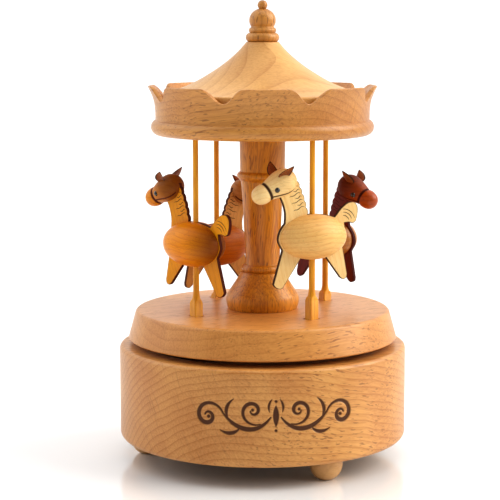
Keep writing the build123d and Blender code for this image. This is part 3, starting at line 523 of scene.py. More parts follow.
def hole_outline(border, centre, angle, radial, tangential):
    """Each border point drawn in to the hole: onto a box when radial and tangential differ, else a circle."""
    turn = np.array([[math.cos(angle), math.sin(angle)], [-math.sin(angle), math.cos(angle)]])
    way = (border - centre) @ turn.T
    if radial == tangential:
        local = way / np.linalg.norm(way, axis=1, keepdims=True) * radial
    else:
        half = np.array([radial, tangential])
        local = way / np.abs(way / half).max(axis=1, keepdims=True)
        for corner in half * np.array([[1, 1], [-1, 1], [-1, -1], [1, -1]]):
            local[np.argmin(np.linalg.norm(local - corner, axis=1))] = corner
        local[-1] = local[0]
    return local @ turn + centre


def pierced_face(shell, inner, outer, z, radial, tangential, up=True):
    """Adds a flat ring at height z with one hole in each quarter; returns the holes' outlines."""
    holes = []
    for degrees_round in HORSE_ANGLES.values():
        angle = math.radians(degrees_round)
        centre = POLE_R * np.array([math.cos(angle), math.sin(angle)])
        border = quarter_border(inner, outer, degrees_round)
        hole = hole_outline(border, centre, angle, radial, tangential)
        share = (np.linspace(0, 1, 12) ** 1.4)[:, None, None]
        flat = hole + (border - hole) * share
        grid = np.concatenate([flat, np.full(flat.shape[:2] + (1,), float(z))], -1)
        shell.add(grid, flip=up)
        holes.append(hole)
    return holes


def at_height(outline, z):
    return np.concatenate([outline, np.full((len(outline), 1), float(z))], -1)


quarter_start = math.radians(HORSE_ANGLES["front_right"] - 45)
RING = quarter_start + np.linspace(0, math.tau, 4 * QUARTER + 1)

# %% [markdown]
# ## The turntable
# A disc with a sloping side and a small flat under it. Four slots let the horses' posts
# through, and a stepped bore in the middle takes the column's tenon above the drive boss.
# The slots' walls join the outlines of the upper and the lower face.

# %% Turntable
TABLE_UNDER = 46.1
SLOT_RADIAL, SLOT_TANGENTIAL = 2.05, 2.7
table = Shell()
table_side = trace(line((50.2, TABLE_UNDER), (51.0, TABLE_UNDER)), line((51.0, TABLE_UNDER), (51.5, 46.6)),
                   line((51.5, 46.6), (48.85, 56.1)),
                   curve((48.85, 56.1), (48.35, 56.88), (47.3, TABLE_Z), start=(-0.25, 1), end=(-1, 0)),
                   line((47.3, TABLE_Z), (46.6, TABLE_Z)), ease=0.15)
table.add(round_the_axis(table_side, RING))
slots_above = pierced_face(table, 5.0, 46.6, TABLE_Z, SLOT_RADIAL, SLOT_TANGENTIAL, up=True)
slots_below = pierced_face(table, 3.4, 50.2, TABLE_UNDER, SLOT_RADIAL, SLOT_TANGENTIAL, up=False)
bore = trace(line((5.0, TABLE_Z), (5.0, 50.0)), line((5.0, 50.0), (3.4, 50.0)),
             line((3.4, 50.0), (3.4, TABLE_UNDER)), ease=0)
table.add(round_the_axis(bore, RING))
for above, below in zip(slots_above, slots_below):
    table.add(np.stack([at_height(above, TABLE_Z), at_height(below, TABLE_UNDER)]))
table.build("turntable_turned", ["turntable_plate"], [table_wood])

# %% [markdown]
# ## The canopy
# The crown is a bead, a wall that flares upwards and a lip cut into eight lobes by a round
# cutter. Inside it a web carries the roof and holds the rods. The wall's grid follows the
# lip: each column of points climbs to the lip's own height at that angle, goes over a
# rounded edge and comes down inside.

# %% Canopy
VALLEY_ANGLE, VALLEY_DEPTH, VALLEY_HALF = math.radians(-65.4), 5.3, 8.2
LIP_Z, WALL_Z, WEB_Z, CANOPY_UNDER, HOLE_TOP = 142.6, 133.0, 136.0, 124.0, 134.8
ROD_HOLE_R, LIP_ROUNDING = 1.2, 0.45
outer_wall = curve((40.6, 129.6), (40.7, 133.5), (41.2, 137.0), (42.5, 140.4), (43.6, LIP_Z), start=(0, 1))
inner_wall = curve((39.0, WEB_Z), (39.4, 138.2), (40.6, 140.6), (42.2, LIP_Z))


def lip_height(angles):
    """The wavy lip: from each valley's middle, a raised cosine climbs back to the lobes' level."""
    pitch = math.tau / 8
    off = (angles - VALLEY_ANGLE + pitch / 2) % pitch - pitch / 2
    reach = np.clip(np.abs(off) * 42.0 / VALLEY_HALF, 0, 1)
    return LIP_Z - VALLEY_DEPTH * np.cos(reach * math.pi / 2) ** 2


def crown_wall(angles):
    """The wall above WALL_Z: up the outside, over a rounded lip, down the inside to the web."""
    lip = lip_height(angles) - LIP_ROUNDING
    share = np.linspace(0, 1, 14)[:, None]
    up = WALL_Z + share * (lip - WALL_Z)
    outside = np.interp(up, outer_wall[:, 1], outer_wall[:, 0])
    down = lip + (WEB_Z - lip) * share
    inside = np.interp(down, inner_wall[:, 1], inner_wall[:, 0])
    over = np.linspace(0, math.pi, 7)[1:-1, None]
    middle, half = (outside[-1] + inside[0]) / 2, (outside[-1] - inside[0]) / 2
    radius = np.concatenate([outside, middle + half * np.cos(over), inside])
    height = np.concatenate([up, lip + LIP_ROUNDING * np.sin(over), down])
    grid = np.stack([radius * np.cos(angles), radius * np.sin(angles), height], -1)
    grid[:, -1] = grid[:, 0]
    return grid


canopy = Shell()
bead = trace(line((39.2, CANOPY_UNDER), (39.8, CANOPY_UNDER)),
             arc((39.8, CANOPY_UNDER), (42.3, 126.7), (41.2, 129.4)),
             line((41.2, 129.4), (40.6, 129.6)), line((40.6, 129.6), (40.66, WALL_Z)), ease=0.1)
bead[-1, 0] = np.interp(WALL_Z, outer_wall[:, 1], outer_wall[:, 0])
canopy.add(round_the_axis(bead, RING))
canopy.add(crown_wall(RING))
canopy.add(round_the_axis(trace(line((39.0, WEB_Z), (30, WEB_Z)), line((30, WEB_Z), (0, WEB_Z))), RING))
rod_holes = pierced_face(canopy, 5.0, 39.2, CANOPY_UNDER, ROD_HOLE_R, ROD_HOLE_R, up=False)
for outline in rod_holes:
    middle = outline[:-1].mean(axis=0)[None, :].repeat(len(outline), 0)
    rings = [at_height(outline, CANOPY_UNDER), at_height(outline, HOLE_TOP), at_height(middle, HOLE_TOP)]
    canopy.add(np.stack(rings), flip=True)
canopy.add(round_the_axis(trace(line((0, 131), (5, 131)), line((5, 131), (5, CANOPY_UNDER)), ease=0), RING))
canopy.build("canopy_turned", ["canopy_crown"], [canopy_wood])

# %% [markdown]
# ## Column, roof, finial and feet
# These four are plain turnings: one profile each, swung round the axis. The roof is a tent
# curve, steep at the top. The finial stacks a flared ring, a small ring, an onion and a ball.

# %% Plain turnings
column = trace(line((0, 50), (5, 50)), line((5, 50), (5, 57.2)), line((5, 57.2), (13.2, 57.2)),
               curve((13.2, 57.2), (13.85, 59), (14, 61), (13.5, 62.9), start=(0.6, 1), end=(-0.75, 1)),
               curve((13.5, 62.9), (10.6, 67.3), (8.3, 71.2), start=(-0.6, 1), end=(-0.45, 1)),
               line((8.3, 71.2), (7.4, 71.6)), arc((7.4, 71.6), (8.1, 72.8), (7.3, 74.0)),
               line((7.3, 74.0), (6.55, 74.3)),
               curve((6.55, 74.3), (7.05, 88), (8.3, 106.2), start=(0.02, 1), end=(0.12, 1), steps=14),
               line((8.3, 106.2), (8.9, 107.0)), arc((8.9, 107.0), (9.7, 108.4), (8.9, 109.7)),
               line((8.9, 109.7), (8.55, 110.0)), line((8.55, 110.0), (8.75, 124)),
               line((8.75, 124), (5, 124)), line((5, 124), (5, 131)), line((5, 131), (0, 131)), ease=0.12)
Shell().add(round_the_axis(column, FULL_TURN)).build("column_turned", ["centre_column"], [column_wood])

roof = trace(line((0, 136), (38.4, 136)), line((38.4, 136), (38.4, 139.2)),
             line((38.4, 139.2), (38.0, 139.6)),
             curve((38.0, 139.6), (26.6, 143.4), (19.8, 147.2), (13.75, 151.4), (8.9, 155.7), (6.1, 158.9),
                   start=(-1, 0.2), end=(-0.8, 1)),
             line((6.1, 158.9), (1.8, 158.9)), line((1.8, 158.9), (1.8, 152)), line((1.8, 152), (0, 152)))
Shell().add(round_the_axis(roof, FULL_TURN)).build("roof_turned", ["roof_cone"], [roof_wood])

finial = trace(line((0, -6.9), (1.8, -6.9)), line((1.8, -6.9), (1.8, 0)), line((1.8, 0), (5.4, 0)),
               arc((5.4, 0), (6.35, 1.6), (5.3, 3.3)), line((5.3, 3.3), (4.8, 3.5)),
               arc((4.8, 3.5), (5.2, 4.4), (4.5, 5.3)), line((4.5, 5.3), (4.3, 5.7)),
               arc((4.3, 5.7), (5.0, 8.4), (3.9, 10.9)), arc((3.9, 10.9), (2.7, 11.85), (1.3, 12.4)),
               arc((1.3, 12.4), (1.74, 13.1), (1.85, 13.72)),
               curve((1.85, 13.72), (1.4, 14.95), (0, 15.57), start=(0, 1), end=(-1, 0)), ease=0.12)
finial[:, 1] += 158.9
Shell().add(round_the_axis(finial, FULL_TURN)).build("finial_turned", ["finial"], [finial_wood])

foot = trace(line((0, 0), (2, 0)),
             curve((2, 0), (4.6, 1.7), (5.85, 4.0), (6.2, 6.2), start=(1, 0.22), end=(0, 1)),
             line((6.2, 6.2), (6.2, 8)), line((6.2, 8), (2.5, 8)), line((2.5, 8), (2.5, 11.5)),
             line((2.5, 11.5), (0, 11.5)), ease=0.2)
for name, degrees_round in {"foot_front_right": -58.8, "foot_back_right": 61.2, "foot_left": 181.2}.items():
    angle = math.radians(degrees_round)
    place = np.array([45 * math.cos(angle), 45 * math.sin(angle), 0])
    turned_foot = round_the_axis(foot, FULL_TURN[::2]) + place
    Shell().add(turned_foot).build(name + "_dome", [name], [foot_wood])


# %% [markdown]
# ## The horses
# Each horse is a flat sawn plate between the halves of a turned egg. A laser cut the plate,
# which browned its edges, and drew a few strokes for mane and tail. The head is turned too,
# with a dark noseband and a cheek strap. The four differ in stain and in small angles, as
# things fitted by hand do, and on some a painted shade darkens the tail end of the egg and
# the back of the head. In the table, forward and seat place the horse on its pole, leg names
# the leg that ends square, the next number says how much shade is painted at the back, and
# the last is the colour of that painted shade and of the laser burn.

# %% Where each horse stands
HORSES = {
    "front_right": dict(yaw=-12.0, forward=0.0, seat=23.7, leg="front", painted_shade_amount=0.0, horse_burn_and_painted_shade=(70, 40, 20)),
    "front_left": dict(yaw=12.0, forward=1.0, seat=22.1, leg="rear", painted_shade_amount=0.7, horse_burn_and_painted_shade=(86, 26, 2)),
    "back_left": dict(yaw=-8.0, forward=0.0, seat=20.9, leg="none", painted_shade_amount=0.2, horse_burn_and_painted_shade=(84, 40, 14)),
    "back_right": dict(yaw=14.0, forward=0.4, seat=22.5, leg="none", painted_shade_amount=0.78, horse_burn_and_painted_shade=(74, 14, 0)),
}


def stand(name, forward=True):
    """The horse's own axes in the row frame: a function that carries points there, and its turn."""
    angle = math.radians(HORSE_ANGLES[name])
    rise = 3.7 + 3.6 * math.cos(angle + math.radians(73.6))
    turn = angle - math.pi / 2 + math.radians(HORSES[name]["yaw"])
    axes = np.array([[math.cos(turn), -math.sin(turn), 0], [math.sin(turn), math.cos(turn), 0], [0, 0, 1]])
    height = TABLE_Z + rise + HORSES[name]["seat"]
    origin = np.array([POLE_R * math.cos(angle), POLE_R * math.sin(angle), height])
    ahead = np.array([HORSES[name]["forward"] if forward else 0.0, 0, 0])
    return lambda p: (p + ahead) @ axes.T + origin, axes


# %% [markdown]
# ## The plate's outline
# The plate is one closed outline: a smooth neck, two legs with rounded or square tips, a tail
# like a scoop, and a mane of seven small arcs. The laser also drew strokes, which stand a
# little proud of the face as thin dark beads.

# %% Plate outline
LEG_TIPS = {"round": [(14.2, -14.6), (13.9, -16.0), (12.6, -16.6), (11.4, -15.9)],
            "square": [(15.9, -16.8), (15.5, -17.6), (12.9, -18.7), (12.2, -18.4)]}
MANE = [(2.2, 8.4), (2.9, 11.0), (3.6, 13.6), (4.5, 16.1), (5.5, 18.6), (6.6, 20.9), (8.0, 23.1), (9.8, 24.9)]


def scallop(a, b, rise=0.45):
    """A small arc whose top stands to the left of the chord."""
    a, b = np.array(a), np.array(b)
    way = (b - a) / np.linalg.norm(b - a)
    return arc(a, (a + b) / 2 + rise * np.array([-way[1], way[0]]), b, 9)


def spread(a, b, steps=24):
    return np.linspace(a, b, steps)


def plate_outline(leg):
    """The outline from the poll down the face, round the legs and tail and up the mane."""
    front = LEG_TIPS["square" if leg == "front" else "round"]
    rear = [(-x, z) for x, z in reversed(LEG_TIPS["square" if leg == "rear" else "round"])]
    strokes = [
        curve((9.8, 24.9), (12.0, 24.0), (13.8, 21.6)), spread((13.8, 21.6), (14.4, 17.2)),
        curve((14.4, 17.2), (12.2, 12.9), (11.2, 9.0), (11.3, 5.4)),
        curve((11.3, 5.4), (13.3, 2.6), (14.1, -0.6), (12.3, -4.6)), spread((12.3, -4.6), front[0]),
        curve(*front), spread(front[-1], (4.6, -7.3)), curve((4.6, -7.3), (0, -8.0), (-5.2, -7.6)),
        spread((-5.2, -7.6), rear[0]), curve(*rear), spread(rear[-1], (-12.3, -4.4)),
        curve((-12.3, -4.4), (-14.0, -0.5), (-13.2, 2.9)), spread((-13.2, 2.9), (-12.9, 4.6), 6),
        curve((-12.9, 4.6), (-14.8, 4.7), (-16.6, 4.3), (-17.8, 5.0)),
        curve((-17.8, 5.0), (-18.5, 8.0), (-18.3, 10.6), (-17.2, 12.0), (-15.0, 12.1), (-12.3, 10.5),
              (-9.0, 6.9)),
        curve((-9.0, 6.9), (-5.5, 7.9), (0, 8.3), (2.2, 8.4)),
        *[scallop(a, b) for a, b in zip(MANE, MANE[1:])],
    ]
    joined = np.concatenate(strokes)
    keep = np.linalg.norm(joined - np.roll(joined, 1, axis=0), axis=1) > 1e-3
    return joined[keep]


def drawn_in(outline, distance):
    """The outline moved inwards by distance, along its points' normals. It runs clockwise."""
    way = np.roll(outline, -1, axis=0) - np.roll(outline, 1, axis=0)
    normal = np.stack([way[:, 1], -way[:, 0]], -1) / np.linalg.norm(way, axis=1, keepdims=True)
    return outline + normal * distance


PLATE_HALF = 0.75


def etched(path, half_width, side, sunk=0.06, proud=0.03):
    """A laser stroke: a flat bead along a path on the plate's face, closed at both ends."""
    path = np.array(path)
    t = np.linspace(0, 1, len(path))
    way = np.gradient(path, axis=0)
    across = np.stack([way[:, 1], -way[:, 0]], -1) / np.linalg.norm(way, axis=1, keepdims=True)
    width = half_width * np.sin(math.pi * t) ** 0.5
    width[[0, -1]] = 0
    around = np.linspace(0, math.tau, 9)
    flat = path[:, None] + across[:, None] * (width[:, None] * np.cos(around))[..., None]
    lift = np.where(np.sin(around) > 0, proud, sunk) * np.sin(around) * np.sign(width)[:, None]
    depth = side * (PLATE_HALF + lift)
    grid = np.stack([flat[..., 0], depth, flat[..., 1]], -1)
    grid[:, -1] = grid[:, 0]
    return grid


def mane_strokes():
    """Strokes that bend from the mane's edge down towards the face, and three arcs round the tail."""
    t = np.linspace(0, 1, 26)
    strokes = []
    for (x, z), (x_next, z_next) in zip(MANE[1:7], MANE[2:]):
        for share, reach in ((0.1, 4.6), (0.6, 2.6)):
            start_x, start_z = x + share * (x_next - x) + 0.5, z + share * (z_next - z)
            drop = -1.5 * t**2 * reach / 4 + 0.28 * np.sin(t * 8.0)
            strokes.append(np.stack([start_x + reach * t, start_z + drop], -1))
    for radius in (2.4, 3.6, 4.8):
        angle = np.radians(84 + 82 * t)
        strokes.append(np.stack([-12.5 + radius * np.cos(angle), 4.9 + radius * np.sin(angle)], -1))
    return strokes


# %% [markdown]
# ## Plates and eggs
# The plate's edge is scorched all over, so its rings there carry the tone of burnt wood and
# its two faces none. Each egg is two halves of one turning, glued on either side of the plate.

# %% Plates and eggs
def add_plate(shell, leg):
    """Rings from one face's inner line over the browned edge to the other, then the two faces."""
    outline = plate_outline(leg)
    rings, tones = [], []
    upper = [(0.30, PLATE_HALF, 0.0), (0.12, PLATE_HALF, 0.8), (0.0, PLATE_HALF - 0.12, 1.0)]
    lower = [(inset, -depth, tone) for inset, depth, tone in reversed(upper)]
    for inset, depth, tone in upper + lower:
        line_in = drawn_in(outline, inset) if inset else outline
        rings.append(np.stack([line_in[:, 0], np.full(len(line_in), depth), line_in[:, 1]], -1))
        tones.append(tone)
    grid = np.stack(rings)
    grid = np.concatenate([grid, grid[:, :1]], axis=1)
    shell.add(grid, tone=np.array(tones)[:, None], flip=True)
    shell.cap(rings[0], flip=True).cap(rings[-1])
    return shell


def half_egg(side, long=13.3, high=8.4, bulge=8.2):
    """Half an egg: rings round its long axis, closed by the flat face that is glued to the plate."""
    nose, roundabout = np.linspace(0, math.pi, 73)[:, None], np.linspace(0, math.pi, 49)[None, :]
    x = long * np.cos(nose) + 0 * roundabout
    y = side * (PLATE_HALF + bulge * np.sin(nose) * np.sin(roundabout))
    z = high * np.sin(nose) * np.cos(roundabout)
    skin = np.stack([x, y, z], -1)
    share = np.linspace(1, -1, 25)[None, :]
    flat = np.stack([long * np.cos(nose) + 0 * share, side * (PLATE_HALF + 0 * nose * share),
                     high * np.sin(nose) * share], -1)
    skin[:, 0], skin[:, -1] = flat[:, 0], flat[:, -1]
    return skin, flat


# %% [markdown]
# ## Heads, ears and eyes
# A head is a small turning with its axis along the muzzle, tipped down by 27 degrees. The
# noseband and the cheek strap are lines burnt into a shallow groove, so they are a tone and
# a slight loss of radius. The ears are cupped leather leaves, and the eyes are round beads.

# %% Heads
HEAD_PLACE, HEAD_DIP = np.array([11.9, 0, 20.6]), math.radians(27)
NOSEBAND, STRAP_FROM = 7.4, -3.4
head_profile = np.concatenate([
    curve((0, -5.2), (2.9, -4.3), (4.6, -1.7), (4.85, 0.9), (4.2, 4.4), (3.4, NOSEBAND),
          start=(1, 0), end=(-0.2, 1), steps=14),
    curve((3.4, NOSEBAND), (3.6, 9.6), (2.75, 12.0), (0, 13.4), start=(0.25, 1), end=(-1, 0), steps=14)[1:],
])


def head_grid():
    """The head's surface and tone: dark on the noseband and on the strap behind the cheek."""
    angles = np.linspace(-math.pi, math.pi, 145)
    grid = round_the_axis(head_profile, angles)
    t = head_profile[:, 1:]
    off_band = np.abs(t - NOSEBAND)
    below = np.degrees(np.arcsin(np.cos(angles)))
    strap_drops = 37 + (NOSEBAND - t) * 2.2
    off_strap = np.abs(below - strap_drops) * math.pi / 180 * head_profile[:, :1]
    on_strap = (t < NOSEBAND + 0.2) & (t > STRAP_FROM)
    band = np.clip((0.75 - off_band) / 0.35, 0, 1)
    strap = np.clip((0.5 - off_strap) / 0.25, 0, 1) * on_strap
    tone = np.maximum(band + 0 * angles, strap)
    grid[..., :2] *= (1 - 0.018 * tone)[..., None]
    tilt = math.pi / 2 + HEAD_DIP
    x, y, z = grid[..., 0], grid[..., 1], grid[..., 2]
    c, s = math.cos(tilt), math.sin(tilt)
    laid = np.stack([x * c + z * s, y, -x * s + z * c], -1)
    return laid + HEAD_PLACE, tone


def ear_grid(side, length=7.2, width=4.1, cup=0.6, thick=0.42):
    """A cupped leaf and its tone: its width swells and closes as it rises, and its rim is dark."""
    v, u = np.linspace(0, 1, 25)[:, None], np.linspace(0, math.tau, 33)[None, :]
    half = width / 2 * np.sin(math.pi * np.clip(v, 0, 1) ** 0.62) ** 0.85 + 0.45 * (1 - v) ** 6
    half = half * (v < 1)
    across, face = np.cos(u), np.sin(u)
    y = cup * (across**2 - 0.5) * (half / width * 2) + face * thick / 2 * (half > 0) * (1 - 0.5 * v)
    leaf = np.stack([half * across, y + 0 * half, length * v + 0 * across], -1)
    leaf[:, -1] = leaf[:, 0]
    out, back = math.radians(-side * 42.0), math.radians(-{1: 32.0, -1: 8.0}[side])
    lean_back = np.array([[math.cos(back), 0, math.sin(back)], [0, 1, 0],
                          [-math.sin(back), 0, math.cos(back)]])
    lean_out = np.array([[1, 0, 0], [0, math.cos(out), -math.sin(out)],
                         [0, math.sin(out), math.cos(out)]])
    base = leaf[:1].mean(axis=1, keepdims=True)
    closed = np.concatenate([np.broadcast_to(base, (1,) + leaf.shape[1:]), leaf])
    rim = np.clip((np.abs(across) - 0.72) / 0.14, 0, 1) + np.clip((v - 0.86) / 0.06, 0, 1)
    tone = np.concatenate([np.zeros((1, u.shape[1])), np.clip(rim, 0, 1)])
    return closed @ (lean_out @ lean_back).T + np.array([14.5, side * 3.0, 22.4]), tone


def ball(radius, centre, columns=33, rows=17):
    """A sphere as a turned half circle."""
    lift = np.linspace(-math.pi / 2, math.pi / 2, rows)
    profile = np.stack([radius * np.cos(lift), radius * np.sin(lift)], -1)
    profile[[0, -1], 0] = 0
    return round_the_axis(profile, np.linspace(-math.pi, math.pi, columns)) + np.array(centre)


# %% [markdown]
# ## Posts and lugs
# Under each horse a moulded post slides in its slot: square at the foot, then a stem that
# turns round as it climbs. A lug at its foot rides on the cam.

# %% Posts and lugs
POST_LENGTH, STEM_R = 20.4, 1.15


def post_grid(seat):
    """A square post that swells into a round stem: each row is a superellipse, from boxy to round."""
    top, bottom = -seat, -seat - POST_LENGTH
    rows = [(bottom, 0, 14), (bottom, 1.75, 14), (bottom + 0.12, 1.85, 14), (top - 0.12, 1.85, 14),
            (top, 1.78, 14)]
    flare = curve((1.78, top), (1.5, top + 1.6), (1.2, top + 3.4), (STEM_R, top + 5.0),
                  start=(-0.1, 1), end=(0, 1))
    power = 2 + 12 * np.clip(1 - (flare[:, 1] - top) / 1.6, 0, 1) ** 1.5
    rows += [(z, r, p) for (r, z), p in zip(flare[1:], power[1:])]
    rows += [(-4.4, STEM_R, 2), (-4.4, 0, 2)]
    z, r, p = np.array(rows).T[:, :, None]
    u = np.linspace(-math.pi, math.pi, 97)[None, :]
    c, s = np.cos(u), np.sin(u)
    reach = r / (np.abs(c) ** p + np.abs(s) ** p) ** (1 / p)
    grid = np.stack([reach * c, reach * s, z + 0 * u], -1)
    grid[:, -1] = grid[:, 0]
    return grid


def lug_grid(seat):
    """The follower's lug at the post's foot: a small box with closed ends, pointing out along X."""
    z = -seat - POST_LENGTH
    loop = np.array([(-1.83, z), (1.83, z), (1.83, z + 1.4), (-1.83, z + 1.4), (-1.83, z)])
    centre = np.array([0, z + 0.7])
    rows = [(1.0, 0.0), (1.0, 1.0), (4.1, 1.0), (4.2, 0.94), (4.2, 0.0)]
    rings = [np.column_stack([np.full(5, x), *((loop - centre) * k + centre).T]) for x, k in rows]
    return np.stack(rings)


# %% [markdown]
# ## Stains, leather, plastic and enamel
# Each horse has its own stain: natural, honey, tan and dark brown, with the plate, the egg
# and the head in slightly different shades. The poles are moulded in amber plastic, the ears
# are brown leather, and the eyes are black enamel.

# %% Stains for the horses
STAINS = {
    "front_right": dict(plate=((250, 220, 160), (230, 184, 112)), egg=((246, 206, 136), (214, 150, 72)),
                        head=((250, 220, 162), (228, 182, 112))),
    "front_left": dict(plate=((242, 168, 8), (208, 124, 0)), egg=((244, 158, 0), (204, 106, 0)),
                       head=((236, 152, 20), (188, 104, 6))),
    "back_left": dict(plate=((236, 190, 118), (206, 156, 88)), egg=((206, 120, 10), (156, 78, 2)),
                      head=((216, 156, 84), (170, 110, 48))),
    "back_right": dict(plate=((126, 22, 0), (84, 6, 0)), egg=((206, 142, 66), (150, 90, 34)),
                       head=((196, 92, 14), (136, 46, 2))),
}


def stained(name, part, light, dark, heading, across, coat, rough, horse_burn_and_painted_shade):
    """Wood for one piece of a horse, with its fibres along the horse."""
    fleck = tuple(0.75 * c for c in dark)
    fibre = heading if part != "plate" else heading * 0.3 + np.array([0, 0, 1.0])
    pith = POLE_R * across * 0.4 + np.array([0, 0, 112.0]) + across * 14
    # The tone colour serves both the laser burn on the plate and the painted shade on the egg and head.
    return wood(f"{name}_{part}_wood", light, dark, fleck, tuple(fibre), tuple(pith), ring=1.7,
                rings=0.35, flecks=0.25, streaks=0.2, coat=coat, rough=rough, burn_and_shade_colour=horse_burn_and_painted_shade,
                fleck_size=(0.2, 1.6), sheen=0.2)


def leather(name):
    """Brown leather: fine creases in the height, a darker patch or two and a dark cut rim."""
    f = Finish(name, Specular_IOR_Level=0.35)
    at = f.place()
    crease = f.noise(at, 2.2, 4.0, 0.6)
    patch = f.noise(at, 0.35, 2.0)
    colour = f.mix(crease.step(0.35, 0.7), paint(132, 66, 22), paint(168, 94, 36))
    colour = f.mix(patch.step(0.45, 0.75) * 0.4, colour, paint(96, 44, 14))
    colour = f.mix(f.tone() * 0.9, colour, paint(46, 22, 10))
    return f.feed(Base_Color=colour, Roughness=crease * 0.25 + 0.32, Normal=f.bump(crease, 0.08))


def plastic(name, light, dark):
    """Moulded plastic: nearly even, with faint flow lines along the rod and a satin bloom."""
    f = Finish(name, Coat_Weight=0.2, Coat_Roughness=0.25)
    at = f.place()
    flow = f.noise(f.vector("MULTIPLY", at, (1.2, 1.2, 0.12)), 1.0, 3.0)
    speck = f.noise(at, 6.0, 2.0)
    colour = f.mix(flow.step(0.3, 0.7), paint(*light), paint(*dark))
    rough = flow * 0.2 + speck * 0.1 + 0.28
    return f.feed(Base_Color=colour, Roughness=rough, Normal=f.bump(speck + flow, 0.02))


def lacquer(name):
    """Black enamel for the eyes, with dust-fine unevenness."""
    f = Finish(name, Coat_Weight=1.0, Coat_Roughness=0.05)
    grain = f.noise(f.place(), 5.0, 2.0)
    colour = f.mix(grain, paint(14, 11, 10), paint(34, 26, 22))
    return f.feed(Base_Color=colour, Roughness=grain * 0.2 + 0.12)


ear_leather, eye_enamel = leather("ear_leather_brown"), lacquer("eye_enamel")
pole_plastic = plastic("pole_plastic", (242, 176, 6), (222, 148, 0))

# %% [markdown]
# ## The four horses
# One loop makes all the pieces of each horse in its own axes and carries them to its place.
# The pole's rod and post stay on the pole's axis, where the horse alone may stand forward.

# %% Build the four horses
ROD_TOP = 126.7
for name, fitted in HORSES.items():
    carry, axes = stand(name)
    on_pole, _ = stand(name, forward=False)
    heading, across_horse = axes[:, 0], axes[:, 1]
    coat, rough = {"back_right": (0.5, 0.3), "front_left": (0.25, 0.34)}.get(name, (0.15, 0.42))
    grain = {part: stained(name, part, *pair, heading, across_horse, coat, rough, fitted["horse_burn_and_painted_shade"])
             for part, pair in STAINS[name].items()}
    plate = add_plate(Shell(), fitted["leg"])
    for side in (-1, 1):
        for stroke in mane_strokes():
            plate.add(etched(stroke, 0.14, side), tone=0.9, flip=side < 0)
    plate.moved(carry).build(f"{name}_body_plate", [f"horse_{name}_plate"], [grain["plate"]])
    for side, label in ((1, "outer"), (-1, "inner")):
        skin, flat = half_egg(side)
        # Painted shade: each egg darkens towards its tail end, by the horse's amount of painted shade.
        egg_painted_shade = fitted["painted_shade_amount"] * np.clip((-skin[..., 0] - 2.0) / 10.0, 0, 1) ** 1.3
        egg = Shell().add(skin, egg_painted_shade, flip=side < 0).add(flat, flip=side > 0)
        egg.moved(carry).build(f"{name}_egg_{label}", [f"horse_{name}_belly_{label}"], [grain["egg"]])
    surface, tone = head_grid()
    # Painted shade: the back of the head darkens by the same amount, towards the neck.
    behind = fitted["painted_shade_amount"] * np.clip((8.0 - head_profile[:, 1:]) / 8.0, 0, 1) ** 0.8
    head = Shell().add(surface, np.maximum(tone, behind)).moved(carry)
    head.build(f"{name}_turned_head", [f"horse_{name}_head"], [grain["head"]])
    ears = Shell().add(*ear_grid(1)).add(*ear_grid(-1))
    ears.moved(carry).build(f"{name}_leather_ears", [f"horse_{name}_ears"], [ear_leather])
    eyes = Shell().add(ball(1.05, (15.9, 3.7, 18.2))).add(ball(1.05, (15.9, -3.7, 18.2)))
    eyes.moved(carry).build(f"{name}_black_eyes", [f"horse_{name}_eyes"], [eye_enamel])
    rod_top = ROD_TOP - TABLE_Z - fitted["seat"]
    rod = trace(line((0, 4.4), (1.0, 4.4)), line((1.0, 4.4), (1.0, rod_top)),
                line((1.0, rod_top), (0, rod_top)))
    Shell().add(round_the_axis(rod, FULL_TURN[::8])).moved(on_pole).build(
        f"{name}_pole_rod", [f"pole_{name}_rod"], [pole_plastic])
    facing = math.radians(90 - fitted["yaw"])
    turn = np.array([[math.cos(facing), -math.sin(facing), 0],
                     [math.sin(facing), math.cos(facing), 0], [0, 0, 1]])
    post = Shell().add(post_grid(fitted["seat"])).add(lug_grid(fitted["seat"]))
    post.moved(lambda p: p @ turn.T).moved(on_pole)
    post.build(f"{name}_pole_post", [f"pole_{name}_socket"], [pole_plastic])


# %% [markdown]
# ## What hides underneath
# The plywood board, the cam and the movement keep their CAD shapes. They only need a
# finish: veneers in layers, cast zinc, brushed steel and lacquered brass.

# %% Finishes for the underside and the movement
def plywood(name):
    """Birch plywood: veneers 0.75 mm thick whose fibres cross, with a glue line between them."""
    f = Finish(name, Specular_IOR_Level=0.3)
    at = f.place()
    height = f.node("SeparateXYZ", None, {0: at}, 2)
    layer = (height / 1.5 + 0.17).fraction()
    glue = layer.step(0.44, 0.49) * (1 - layer.step(0.51, 0.56)) + layer.step(0.95, 1.0)
    along = f.noise(f.vector("MULTIPLY", at, (0.08, 2.2, 1.0)), 1.0, 3.0, 0.6)
    crossed = f.noise(f.vector("MULTIPLY", at, (2.2, 0.08, 1.0)), 1.0, 3.0, 0.6)
    even, odd = (f.node("CombineXYZ", None, {0: fibre}) for fibre in (along, crossed))
    grain = f.mix(layer.step(0.49, 0.51), even, odd)
    grain = f.node("SeparateXYZ", None, {0: grain}, 0)
    colour = f.mix(grain.step(0.35, 0.7), paint(226, 188, 138), paint(188, 142, 94))
    colour = f.mix(glue.math("MINIMUM", glue, 1.0) * 0.7, colour, paint(112, 76, 46))
    return f.feed(Base_Color=colour, Roughness=grain * 0.2 + 0.5, Normal=f.bump(grain, 0.06))


def metal(name, light, dark, stretch, rough, grain_height=0.02, metallic=1.0):
    """Metal whose streaks follow stretch, with a few duller patches."""
    f = Finish(name, Metallic=metallic)
    at = f.place()
    streak = f.noise(f.vector("MULTIPLY", at, stretch), 1.0, 4.0, 0.65)
    patch = f.noise(at, 0.12, 3.0)
    colour = f.mix(streak, paint(*light), paint(*dark))
    colour = f.mix(patch.step(0.45, 0.7) * 0.4, colour, paint(*dark))
    worn = streak * 0.25 + patch * 0.15 + rough
    return f.feed(Base_Color=colour, Roughness=worn, Normal=f.bump(streak, grain_height))


